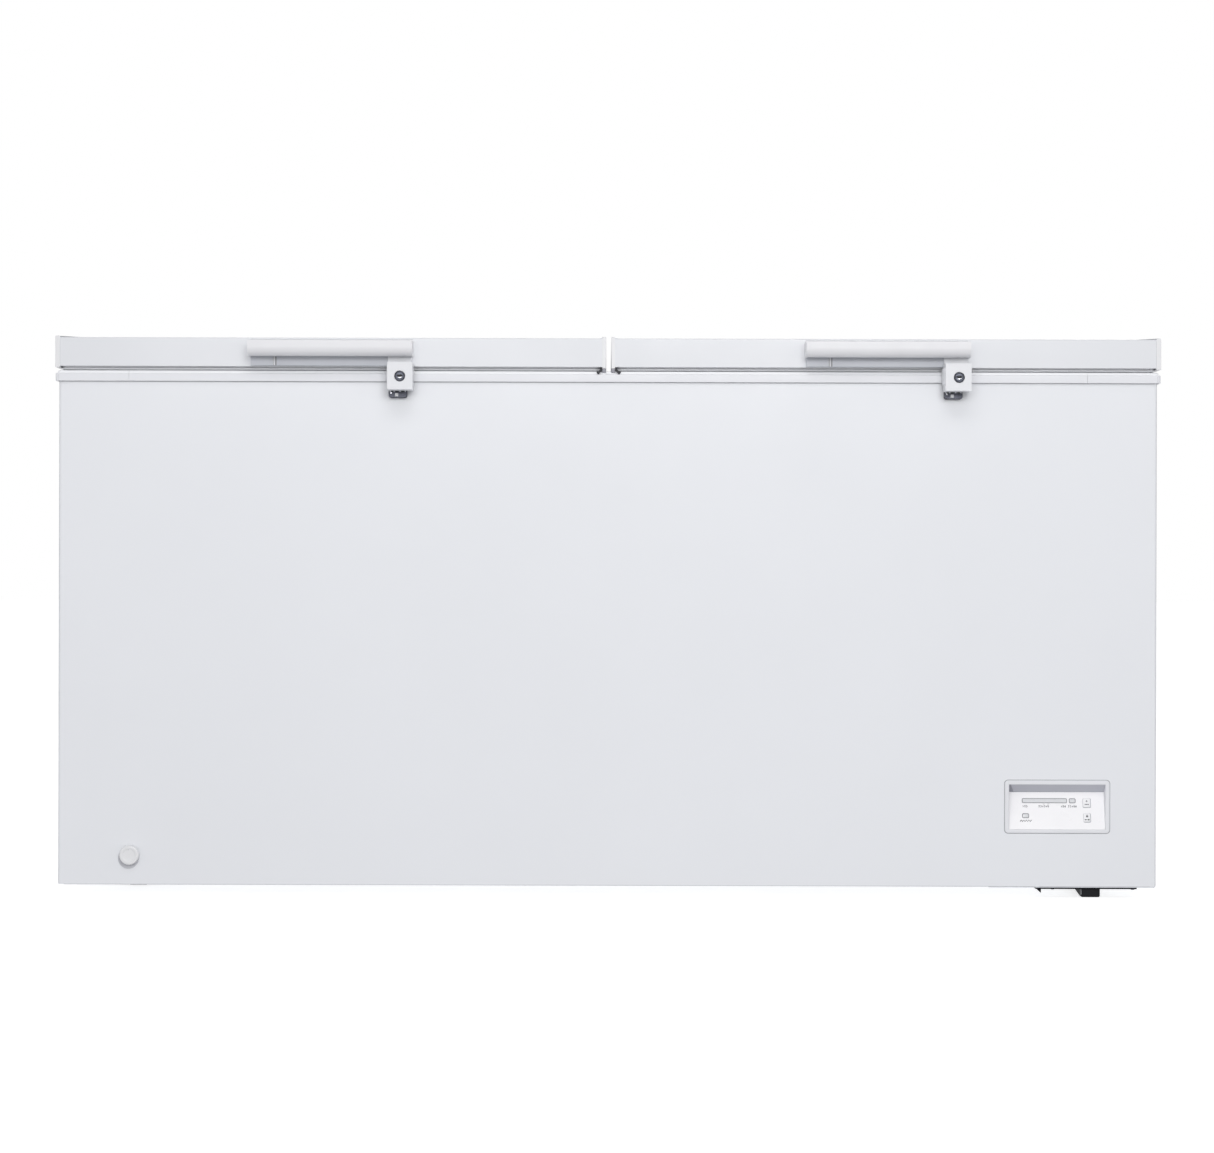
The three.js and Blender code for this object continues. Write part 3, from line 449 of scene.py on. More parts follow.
def piece(name, parts, body, slot, replaces=(), smooth=32, shift=(0, 0, 0), cutters=()):
    """One named object from (bmesh, material) parts, smoothed, cut and riding on its body."""
    whole, materials = bmesh.new(), []
    for bm, material in parts:
        if material not in materials:
            materials.append(material)
        for face in bm.faces:
            face.material_index = materials.index(material)
        scratch = bpy.data.meshes.new("scratch")
        bm.to_mesh(scratch)
        bm.free()
        whole.from_mesh(scratch)
        bpy.data.meshes.remove(scratch)
    bmesh.ops.translate(whole, vec=Vector(shift), verts=whole.verts)
    mesh = bpy.data.meshes.new(name)
    whole.to_mesh(mesh)
    whole.free()
    for material in materials:
        mesh.materials.append(material)
    obj = linked(name, mesh)
    if cutters:
        mesh = cut(obj, cutters, shift)
    mesh.polygons.foreach_set("use_smooth", [True] * len(mesh.polygons))
    mesh.set_sharp_from_angle(angle=math.radians(smooth))
    weighted = obj.modifiers.new("weighted", "WEIGHTED_NORMAL")
    weighted.keep_sharp = True
    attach(obj, body)
    if replaces:
        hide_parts(replaces)
    return obj


def cut(obj, cutters, shift):
    """Takes the cutters away from an object and gives it the mesh that is left."""
    helpers = []
    for bm in cutters:
        mesh = bpy.data.meshes.new("cutter")
        bm.to_mesh(mesh)
        bm.free()
        helper = linked("cutter", mesh)
        helper.location = shift
        helpers.append(helper)
        modifier = obj.modifiers.new("cut", "BOOLEAN")
        modifier.operation, modifier.solver, modifier.object = "DIFFERENCE", "EXACT", helper
    bpy.context.view_layer.update()
    graph = bpy.context.evaluated_depsgraph_get()
    result = bpy.data.meshes.new_from_object(obj.evaluated_get(graph), depsgraph=graph)
    obj.modifiers.clear()
    old, name = obj.data, obj.data.name
    obj.data = result
    bpy.data.meshes.remove(old)
    result.name = name
    for helper in helpers:
        mesh = helper.data
        bpy.data.objects.remove(helper)
        bpy.data.meshes.remove(mesh)
    return result


def screw(axis, centre, seat, outward, radius=3.6 * MM, slot_turn=20):
    """A pan head on a plane, its cross recess painted dark as painted shade; outward is +1 or -1 along the
    axis.
    """
    top = seat + outward * radius * 0.55
    profile = [
        (radius, seat - outward * 0.0004),
        (radius, seat + outward * radius * 0.18),
        (radius * 0.86, seat + outward * radius * 0.4),
        (radius * 0.55, top),
        (radius * 0.34, top),
        (0, top - outward * radius * 0.28),
    ]
    parts = [(turned(profile, axis, centre, 20), bright_metal)]
    ends = sorted((top - outward * 0.0002, top + outward * 0.00006))
    w, l = radius * 0.1, radius * 0.46
    for k in range(2):
        t = math.radians(slot_turn + 90 * k)
        c, s = math.cos(t), math.sin(t)
        corners = ((l, w), (-l, w), (-l, -w), (l, -w))
        arm = [(centre[0] + a * c - b * s, centre[1] + a * s + b * c) for a, b in corners]
        parts.append((prism(arm, axis, *ends), hollow_painted_shade))
    return parts


# ---------------------------------------------------------------- places from the frame
CAB_LOW, CAB_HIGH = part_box("cabinet_wrapper")
LID_LOW, LID_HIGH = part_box("lid_skin_left")
RIM_LOW, RIM_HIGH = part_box("rim_left_end")
HANDLE_LOW, HANDLE_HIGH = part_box("handle_left")
LOCK_LOW, LOCK_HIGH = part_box("lock_housing_left")
BARREL_LOW, BARREL_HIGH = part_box("lock_cylinder_left")
LINER_LOW, LINER_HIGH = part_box("inner_liner")
LID_CENTRE = (LID_LOW.x + LID_HIGH.x) / 2
LIDS = {"left": LID_CENTRE, "right": -LID_CENTRE}
LID_HALF = (LID_HIGH.x - LID_LOW.x) / 2
FRONT, REAR = LID_LOW.y, LID_HIGH.y  # the lids' front and rear planes
CAB_FRONT, CAB_REAR = CAB_LOW.y, CAB_HIGH.y
SIDE = CAB_HIGH.x
WIDE = -RIM_LOW.x  # half of the rim's width
LAND = RIM_HIGH.z  # where the gaskets meet the rim
LEDGE = LAND - 5 * MM
RIM_BOTTOM = CAB_HIGH.z - 6 * MM
LID_BOTTOM = LID_LOW.z
LID_TOP = LID_HIGH.z - 2.9 * MM
CAP_TOP = LID_HIGH.z - 0.7 * MM
SHEET_LOW = CAB_LOW.z + 1.7 * MM  # the cabinet's lower edge
CAP_WIDTH = 5.8 * MM  # the moulded cap at a lid's inner end
INNER_CLEAR = {"left": 0.4 * MM, "right": 1.8 * MM}  # how far it stands back from the lid's end
THROUGH = 10 * MM  # how far a cutter reaches past a sheet


def ahead(distance):
    """A plane this many millimetres in front of the lids."""
    return FRONT - distance * MM


def middle(low, high):
    return (low + high) / 2


# ---------------------------------------------------------------- cabinet
def cabinet():
    sheet, lip, corner = 1.2 * MM, 14 * MM, 4 * MM
    low, high = SHEET_LOW, CAB_HIGH.z

    def path(inset, front_radius, rear_radius):
        x, y0, y1 = SIDE - inset, CAB_FRONT + inset, CAB_REAR - inset
        points = [(-x + lip, y1), (-x, y1), (-x, y0), (x, y0), (x, y1), (x - lip, y1)]
        return rounded(points, [0, rear_radius, front_radius, front_radius, rear_radius, 0], 9)

    outline = path(0, corner, 3 * MM) + path(sheet, 2.8 * MM, 1.8 * MM)[::-1]
    bezel_low, bezel_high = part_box("panel_bezel")
    vent_low, vent_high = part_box("vent_grille")
    dial = middle(*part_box("drain_dial"))
    b, v = 2.9 * MM, 5 * MM  # how far the holes are smaller than what covers them
    window = block(
        (bezel_low.x + b, CAB_FRONT - THROUGH, bezel_low.z + b),
        (bezel_high.x - b, CAB_FRONT + THROUGH, bezel_high.z - b),
    )
    hole = rod("y", 10.6 * MM, CAB_FRONT - THROUGH, CAB_FRONT + THROUGH, (dial.x, dial.z))
    vent_hole = block(
        (SIDE - THROUGH, vent_low.y + v, vent_low.z + v),
        (SIDE + THROUGH, vent_high.y - v, vent_high.z - v),
    )
    shell, cutters = [(prism(outline, "z", low, high), enamel)], [window, hole, vent_hole]
    piece("cabinet_shell", shell, "cabinet", "white_steel", "cabinet_wrapper", cutters=cutters)
    # a darker strip at the bend of the two front corners, painted shade where the sheet turns away from
    # the light
    bend_shades = []
    for s in (-1, 1):
        centre = (s * (SIDE - corner), CAB_FRONT + corner)
        start, end = (-48, 2) if s > 0 else (-132, -182)
        outline = arc(*centre, corner + 0.07 * MM, start, end, 6)
        outline += arc(*centre, corner - 0.2 * MM, end, start, 6)
        bend_shades.append((prism(outline, "z", low + 0.5 * MM, RIM_BOTTOM - 0.5 * MM), corner_painted_shade))
    piece("cabinet_bend_shades", bend_shades, "cabinet", "white_steel")
    # the sheet's lower edge is folded in, with a gap where the machine compartment begins
    hem = []
    fold = near(CAB_FRONT, low, (0.1, 5), (0.1, -0.4), (28, -0.4), (28, 1.1), (1.6, 1.1), (1.6, 5))
    fold = rounded(fold, mm(0, 1.2, 0.3, 0.3, 0.4, 0), 4)
    # a grey strip along the fold's lower edge, painted shade under the fold
    edge = oblong(CAB_FRONT + 0.45 * MM, low, 0.55, 0.5)
    for x0, x1 in ((-SIDE + 9 * MM, 640 * MM), (645 * MM, SIDE - 9 * MM)):
        hem.append((prism(fold, "x", x0, x1), enamel))
        hem.append((prism(edge, "x", x0, x1), seam_and_painted_shade_grey))
    piece("cabinet_hem", hem, "cabinet", "white_steel")


def rear_sheet():
    low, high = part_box("back_panel")
    y = high.y
    parts = [(block((low.x, y - 1 * MM, low.z), high, 0.3 * MM), enamel)]
    # pressed stiffening ribs, then the screwed cover over the machine compartment
    for x in (-560, -280, 0, 280):
        rib = oblong(x * MM, 0.36, 30, 240, 29.9, 8)
        parts.append((prism(rib, "y", y - 0.3 * MM, y + 0.9 * MM, 0.8 * MM), enamel))
    cover = rect(0.55, SIDE - 22 * MM, 0.024, 0.3, 6 * MM)
    parts.append((prism(cover, "y", y - 0.2 * MM, y + 1.1 * MM, 0.4 * MM), enamel))
    for x in (0.562, 0.68, SIDE - 34 * MM):
        for z in (0.036, 0.288):
            parts += screw("y", (x, z), y + 1.1 * MM, 1, slot_turn=x * 400 + z * 90)
    # the cover's louvres are dark strips, painted shade in their slots
    for row in range(9):
        louvre = oblong(0.675, 0.152 + row * 13 * MM, 75, 2, 1.9, 4)
        parts.append((prism(louvre, "y", y + 0.9 * MM, y + 1.25 * MM), hollow_painted_shade))
    for x in range(-790, 800, 158):
        for z in (low.z + 10 * MM, high.z - 14 * MM):
            parts += screw("y", (x * MM, z), y, 1, 3 * MM, x * 0.7)
    piece("rear_sheet", parts, "cabinet", "white_steel", "back_panel")


def rim():
    """One moulded section round the mouth, mitred at the corners and joined at four seams."""
    low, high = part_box("rim_front")
    inner = (CAB_FRONT - FRONT) + 72 * MM  # the skirt stands just inside the liner
    wall, shelf, skirt = 2.2 * MM, 57 * MM, low.z
    shelf_z = LAND - 4.5 * MM  # the baskets hang here
    section = near(0, RIM_BOTTOM, (2.2, 0.2), (0.8, 0), (0.25, 0.25), (0, 0.9))
    section += near(0, LEDGE, (0, -1.4), (0.45, -0.4), (1.5, 0), (8.2, 0.1), (9.8, 0.8))
    section += near(0, LAND, (14.2, -0.7), (15.6, -0.1), (17, 0), (56.4, 0), (57, -0.5))
    section += near(shelf, shelf_z, (0, 0.5), (0.5, 0))
    section += near(inner, shelf_z, (-3, 0), (-1, -0.6), (0, -2.5))
    section += near(inner, skirt, (0, 0.2), (-0.4, 0), (-1.6, 0), (-1.7, 0.5))
    section += [(inner - 1.7 * MM, shelf_z - wall), (shelf - wall, shelf_z - wall)]
    section += [(shelf - wall, LAND - wall), (17 * MM, LAND - wall)]
    section += [(10 * MM, LEDGE - wall), (wall, LEDGE - wall)]
    # a brighter bead lies along the slope that faces the gasket, a painted highlight on that shaded slope
    bead = near(0, LEDGE, (1.9, -0.3), (2.1, 0.6))
    bead += near(0, LAND, (3.3, -1.5), (4.8, -0.8), (13.6, -0.8), (14.2, -1.6))
    bead += near(0, LEDGE, (8.6, -0.3))

    def all_round(profile, radius):
        return ring(profile, -WIDE, WIDE, FRONT, REAR, radius, steps=8)

    def corner(inset):
        return 5 * MM + 23 * MM * min(1.0, max(0.0, inset / inner))

    seam, gap = high.x, 0.35 * MM
    ends = [((seam, 0, 0), (1, 0, 0)), ((-seam, 0, 0), (-1, 0, 0))]
    cuts = {
        "rim_left_end": [((-seam - gap, 0, 0), (1, 0, 0))],
        "rim_right_end": [((seam + gap, 0, 0), (-1, 0, 0))],
        "rim_front": ends + [((0, 0, 0), (0, 1, 0))],
        "rim_back": ends + [((0, 0, 0), (0, -1, 0))],
    }
    for node, planes in cuts.items():
        parts = [(all_round(section, corner), trim), (all_round(bead, corner), trim_painted_highlight)]
        for bm, _ in parts:
            for point, normal in planes:
                slice_off(bm, point, normal)
        piece(node + "_moulding", parts, "cabinet", "white_plastic", node, smooth=40)
    # a small brighter block in the gap between the lids, a painted highlight where shade falls
    start = (-2.7 * MM, FRONT + 0.8 * MM, LEDGE)
    nose = block(start, (2.7 * MM, FRONT + 15 * MM, LAND - 1.2 * MM), 0.5 * MM)
    details = []
    for x in (-WIDE + 5.4 * MM, WIDE - 5.4 * MM):
        line = rect(x - 0.25 * MM, x + 0.25 * MM, RIM_BOTTOM + 1 * MM, LEDGE - 1.6 * MM)
        details.append((prism(line, "y", FRONT - 0.05 * MM, FRONT + 1 * MM), seam_and_painted_shade_grey))
    details.append((nose, trim_painted_highlight))
    piece("rim_details", details, "cabinet", "white_plastic")
    # a shadow joint under the rim, where the cabinet's sheet goes up inside it
    joint = all_round(near(0, RIM_BOTTOM, (4, -1), (4, 4), (5.2, 4), (5.2, -1)), lambda inset: 9 * MM)
    piece("rim_joint_strip", [(joint, seam_and_painted_shade_grey)], "cabinet", "gasket_grey")


def centre_bar():
    low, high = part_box("centre_bar")
    outline = rect(low.x, high.x, low.z, high.z, mm(2, 2, 6, 6))
    parts = [(prism(outline, "y", low.y, high.y, 0.4 * MM), trim)]
    # two grey strips on the bar's top, painted shade standing for grooves
    for x in (-26 * MM, 26 * MM):
        groove = rect(x - 1.1 * MM, x + 1.1 * MM, low.y + 12 * MM, high.y - 12 * MM, 1 * MM, 3)
        parts.append((prism(groove, "z", high.z - 0.2 * MM, high.z + 0.08 * MM), groove_and_painted_light_grey))
    piece("centre_bar_moulding", parts, "cabinet", "white_plastic", "centre_bar")


# ---------------------------------------------------------------- interior
def interior():
    low, high = LINER_LOW, LINER_HIGH
    sheet, bend = 1.2 * MM, 22 * MM
    floor, step_x, step_z = low.z + sheet, 0.5, 0.372  # the step over the machine compartment
    x0, x1, y0, y1 = low.x + sheet, high.x - sheet, low.y + sheet, high.y - sheet

    def tub(left, right, bottom, top):
        def radius(inset):
            return max(30 * MM - inset, 8 * MM)

        profile = [(0, top)] + near(0, bottom, (0, 22), (1.7, 13.5), (6.4, 6.4), (13.5, 1.7), (22, 0))
        return ring(profile, left, right, y0, y1, radius, closed=False, steps=8, caps=(-1,))

    upper = tub(x0, x1, step_z, high.z)
    lower = tub(x0, step_x, floor, step_z + 30 * MM)
    # the upper tub has a floor only over the step
    slab = [f for f in upper.faces if abs(f.normal.z) > 0.9]
    bmesh.ops.delete(upper, geom=slab, context="FACES_ONLY")
    corners = rect(step_x - 2 * MM, x1 - bend, y0 + bend, y1 - bend)
    step_floor = bmesh.new()
    step_floor.faces.new([step_floor.verts.new((x, y, step_z)) for x, y in corners])
    slice_open(upper, (step_x - 2 * MM, 0, 0), (-1, 0, 0), low_part=step_z + 23 * MM)
    parts = [(bm, liner_metal) for bm in (upper, lower, step_floor)]
    obj = piece("liner_tub", parts, "cabinet", "embossed_aluminium", "inner_liner", smooth=50)
    thick = obj.modifiers.new("sheet", "SOLIDIFY")
    thick.thickness = sheet
    thick.offset = -1


def baskets():
    wire, thin, taper = 2.1 * MM, 1.3 * MM, 8 * MM
    for side in LIDS:
        low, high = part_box("basket_" + side)
        x0, x1 = low.x + wire, high.x - wire
        y0, y1 = low.y + 20 * MM + wire, high.y - 20 * MM - wire
        z0, z1 = low.z + wire, high.z - 14.9 * MM - wire
        bars = []
        hoops = (
            (z1, 0, wire),
            (z1 - 34 * MM, taper * 0.2, wire),
            (z0 + 60 * MM, taper * 0.65, thin),
            (z0 + 25 * MM, taper * 0.9, thin),
            (z0, taper, wire),
        )
        for z, inset, radius in hoops:
            outline = rect(x0 + inset, x1 - inset, y0 + inset, y1 - inset, 14 * MM)
            bars.append(tube([(x, y, z) for x, y in outline], radius, 8, closed=True))
        # upright wires run down one side, across the floor and up the other
        lines = []
        centre, count = (x0 + x1) / 2, 9
        for i in range(1, count):
            x = x0 + (x1 - x0) * i / count
            f = (x - centre) * (1 - taper * 2 / (x1 - x0)) + centre
            lines.append([(x, y0, z1), (f, y0 + taper, z0), (f, y1 - taper, z0), (x, y1, z1)])
        count = 19
        for i in range(1, count):
            y = y0 + (y1 - y0) * i / count
            lines.append([(x0, y, z1), (x0 + taper, y, z0), (x1 - taper, y, z0), (x1, y, z1)])
        bars += [tube(bent(line, 10 * MM), thin, 6) for line in lines]
        # hooks over the rim at both ends
        lip = high.z - 2.2 * MM
        for x in (x0 + 45 * MM - wire, x1 - 45 * MM + wire):
            for face, out in ((y0, -MM), (y1, MM)):
                leg = [(face, z1 - 34 * MM), (face + 3 * out, z1)]
                leg += [(face + 1.4 * out, lip), (face + 19 * out, lip)]
                line = [(x - 13 * MM, y, z) for y, z in leg] + [(x + 13 * MM, y, z) for y, z in leg[::-1]]
                bars.append(tube(bent(line, 5 * MM), wire, 8))
        parts = [(bm, wire_white) for bm in bars]
        piece("wire_basket_" + side, parts, side + "_basket", "white_wire", "basket_" + side, smooth=60)


def drain():
    low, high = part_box("drain_dial")
    x, z = middle(low, high).x, middle(low, high).z
    r = (high.x - low.x) / 2
    profile = [(0, high.y)] + near(r, high.y, (-1.5, 0), (-0.3, -0.4), (0, -1.2))
    profile += near(r, low.y, (-0.2, 1.6), (-0.9, 0.5), (-2.2, 0), (-4.2, 0.15), (-5.2, 0.9), (-6.6, 1.3))
    profile += [(0, low.y + 0.9 * MM)]
    mark = oblong(x - 0.7 * MM, z + 8.3 * MM, 0.6, 0.7, 0.5, 3)
    parts = [(turned(profile, "y", (x, z), 48), cap_white)]
    parts.append((prism(mark, "y", low.y + 0.6 * MM, low.y + 1.3 * MM), seam_and_painted_shade_grey))
    for place in circle(x, z, r - 0.1 * MM, 24):
        parts.append((rod("y", 0.45 * MM, low.y + 2.2 * MM, high.y - 1.6 * MM, place, 8), cap_white))
    piece("drain_dial_moulding", parts, "dial", "white_plastic", "drain_dial")

    # a shallow grey collar round the dial, hanging lower than it and a little to its left: a painted
    # shadow of the dial
    profile = near(0, CAB_FRONT, (0, 0.1)) + near(r, CAB_FRONT, (1, 0.1), (0.9, -0.35), (-0.2, -0.35))
    profile += near(0, CAB_FRONT, (0, -0.35))
    collar = turned(profile, "y", (x - 2.1 * MM, z - 5.4 * MM), 48)
    piece("drain_collar_painted_shadow", [(collar, dial_painted_shadow)], "cabinet", "white_plastic")

    low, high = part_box("drain_plug")
    x, y = middle(low, high).xy
    floor = LINER_LOW.z + 1.2 * MM
    profile = near(0, low.z, (0, 0), (7.6, 0), (8.3, 0.8))
    profile += near(0, floor, (8.5, 0), (14.2, 0.2), (15, 0.9), (14.6, 2.2), (13, 2.9), (0, 3.2))
    grip = near(x, floor, (-9, 2), (9, 2)) + near(x, high.z, (7.5, 0), (-7.5, 0))
    pull = prism(rounded(grip, mm(0, 0, 4, 4)), "y", y - 1.5 * MM, y + 1.5 * MM, 0.7 * MM)
    parts = [(bm, gasket_vinyl) for bm in (turned(profile, "z", (x, y), 32), pull)]
    piece("drain_plug_rubber", parts, "plug", "white_plastic", "drain_plug")


# ---------------------------------------------------------------- base
def feet():
    for place in ("front_left", "front_right", "back_left", "back_right"):
        node = "foot_" + place
        low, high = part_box(node)
        high.z += SHEET_LOW - CAB_LOW.z
        back = high.y + 70 * MM if low.y < 0 else high.y
        # a short tread, then a heel that rises to the cabinet's floor
        toe = low.y + 11 * MM
        outline = rect(low.x, high.x, low.z, high.z, mm(2.6, 2.6, 0, 0), 4)
        tread = prism(outline, "y", low.y, toe, 0.7 * MM)
        slope = near(toe, low.z, (-1, 0.4)) + near(back, high.z, (0, -1.4), (0, 0))
        slope += near(toe, high.z, (-1, 0))
        heel = prism(slope, "x", low.x + 0.3 * MM, high.x - 0.3 * MM, 0.4 * MM)
        m = 2.4 * MM
        hollow = rect(low.x + m, high.x - m, low.z + m, high.z - m * 0.6, 1.6 * MM, 4)
        recess = prism(hollow, "y", low.y - 2 * MM, low.y + 0.9 * MM)
        sunk = prism(hollow, "y", low.y + 1.0 * MM, low.y + 3 * MM)
        # a grey strip on the front's left edge, a painted highlight on the black
        start = (low.x + 0.3 * MM, low.y - 0.05 * MM, low.z + 4 * MM)
        edge = block(start, (low.x + 1 * MM, low.y + 0.6 * MM, high.z - 0.8 * MM))
        pad = rect(low.x + 3 * MM, high.x - 3 * MM, low.y + 2 * MM, toe - 2 * MM, 2 * MM, 4)
        pad = prism(pad, "z", low.z, low.z + 1.2 * MM, 0.3 * MM)
        parts = [(tread, black_plastic), (heel, matt_black), (edge, groove_and_painted_light_grey), (pad, dark_rubber)]
        piece(node + "_moulding", parts, "cabinet", "black_plastic", node, cutters=[recess])
        piece(node + "_inset", [(sunk, matt_black)], "cabinet", "black_plastic")


def base():
    low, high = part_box("compressor_base")
    floor, y = CAB_LOW.z, CAB_FRONT + 4 * MM

    def at(distance):
        """A place this many millimetres from the plate's left edge."""
        return low.x + distance * MM

    # a dark lip that hangs just below the cabinet, a bent tab with its hook, a stub and a bolt
    lip = rounded(near(y, floor, (0, 3), (0, -2.4), (20, -2.4), (20, 3)), mm(0, 0.8, 0.8, 0), 3)
    tab = [(at(69.9), floor), (at(78.8), floor), (at(78.8), 6.6 * MM)]
    hook = block((at(78.8), y + 10 * MM, 6.8 * MM), (at(79.8), y + 22 * MM, floor), 0.2 * MM)
    stub = block((at(94.5), y + 6 * MM, floor - 3.6 * MM), (at(99.1), y + 16 * MM, floor), 0.8 * MM)
    bolt = near(0, 0, (0, 11.0), (2.2, 11.1), (3.9, 12.2), (4.4, 13.8), (4.4, 16.4), (2, 16.8))
    parts = [
        (prism(lip, "x", at(70.7), at(221.7)), matt_black),
        (prism(tab, "y", y + 2 * MM, y + 22 * MM, 0.3 * MM), matt_black),
        (hook, zinc),
        (stub, dark_rubber),
        (turned(bolt, "z", (at(216.6), y + 8 * MM), 20), lock_metal),
    ]
    for by in (low.y + 0.2, low.y + 0.48):
        rib = rect(low.x + 4 * MM, high.x - 4 * MM, by, by + 14 * MM, 6.9 * MM)
        parts.append((prism(rib, "z", floor + 1.4 * MM, high.z, 1.2 * MM), zinc))
    parts.append((block((low.x, low.y, floor), (high.x, high.y, floor + 2 * MM), 0.4 * MM), zinc))
    for bx in (at(45.7), at(193.7)):
        for by in (-16, 96):
            parts += screw("z", (bx, by * MM), floor, -1, 5 * MM, bx * 500)
    piece("base_plate", parts, "cabinet", "galvanised", "compressor_base")

    low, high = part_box("bottom_panel")
    low.y = CAB_FRONT + 27 * MM  # it starts behind the folded edge
    parts = [(block(low, high, 0.3 * MM), zinc)]
    for x in range(-700, 501, 240):
        rib = rect(x * MM - 8 * MM, x * MM + 8 * MM, low.y + 0.13, high.y - 0.06, 7.9 * MM, 6)
        parts.append((prism(rib, "z", low.z - 1.2 * MM, low.z + 0.4 * MM, 0.8 * MM), zinc))
    piece("bottom_sheet", parts, "cabinet", "galvanised", "bottom_panel")


def vent():
    low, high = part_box("vent_grille")
    face, m, e = SIDE + 0.2 * MM, 14 * MM, 5.4 * MM

    def opening():
        hole = rect(low.y + m, high.y - m, low.z + m, high.z - m, 3 * MM)
        return prism(hole, "x", low.x - 2 * THROUGH, high.x + 2 * THROUGH)

    on_side = {"body": "cabinet", "slot": "white_plastic"}
    surround = prism(rect(low.y, high.y, low.z, high.z, 6 * MM), "x", face, high.x, 0.9 * MM)
    surround = [(surround, trim)]
    piece("vent_surround", surround, replaces="vent_grille", cutters=[opening()], **on_side)
    spigot = rect(low.y + e, high.y - e, low.z + e, high.z - e)
    spigot = [(prism(spigot, "x", low.x, face + 1 * MM), trim)]
    piece("vent_spigot", spigot, cutters=[opening()], **on_side)
    bars = []
    z = low.z + m + 1 * MM
    while z < high.z - m - 5 * MM:
        slat = near(low.x, z, (1, 5.5)) + near(high.x, z, (-0.8, 0), (-0.4, 1.6))
        slat += near(low.x, z, (1.4, 7.1))
        bars.append(prism(slat, "y", low.y + m - 1 * MM, high.y - m + 1 * MM, 0.4 * MM))
        z += 9.5 * MM
    for k in range(1, 4):
        y = low.y + m + (high.y - low.y - 2 * m) * k / 4
        start = (low.x + 0.5 * MM, y - 2 * MM, low.z + m)
        bars.append(block(start, (high.x - 0.6 * MM, y + 2 * MM, high.z - m), 0.4 * MM))
    piece("vent_slats", [(bm, trim) for bm in bars], "cabinet", "white_plastic")
    heads = []
    for y in (low.y + 9 * MM, high.y - 9 * MM):
        for z in (low.z + 9 * MM, high.z - 9 * MM):
            heads += screw("x", (y, z), high.x, 1, 2.6 * MM, y * 900)
    piece("vent_screws", heads, "cabinet", "galvanised")


# ---------------------------------------------------------------- control panel
DIGITS = {
    "1": [(0.2, 0.8), (0.5, 1), (0.5, 0)],
    "2": [(0.1, 0.8), (0.3, 1), (0.7, 1), (0.85, 0.75), (0.1, 0), (0.9, 0)],
    "3": [(0.1, 1), (0.85, 1), (0.45, 0.6), (0.85, 0.35), (0.6, 0), (0.1, 0.1)],
    "4": [(0.7, 0), (0.7, 1), (0.1, 0.3), (0.95, 0.3)],
    "5": [(0.85, 1), (0.2, 1), (0.15, 0.55), (0.7, 0.6), (0.85, 0.3), (0.6, 0), (0.1, 0.1)],
    "6": [(0.8, 1), (0.3, 0.75), (0.1, 0.3), (0.4, 0), (0.8, 0.15), (0.8, 0.45), (0.15, 0.4)],
}


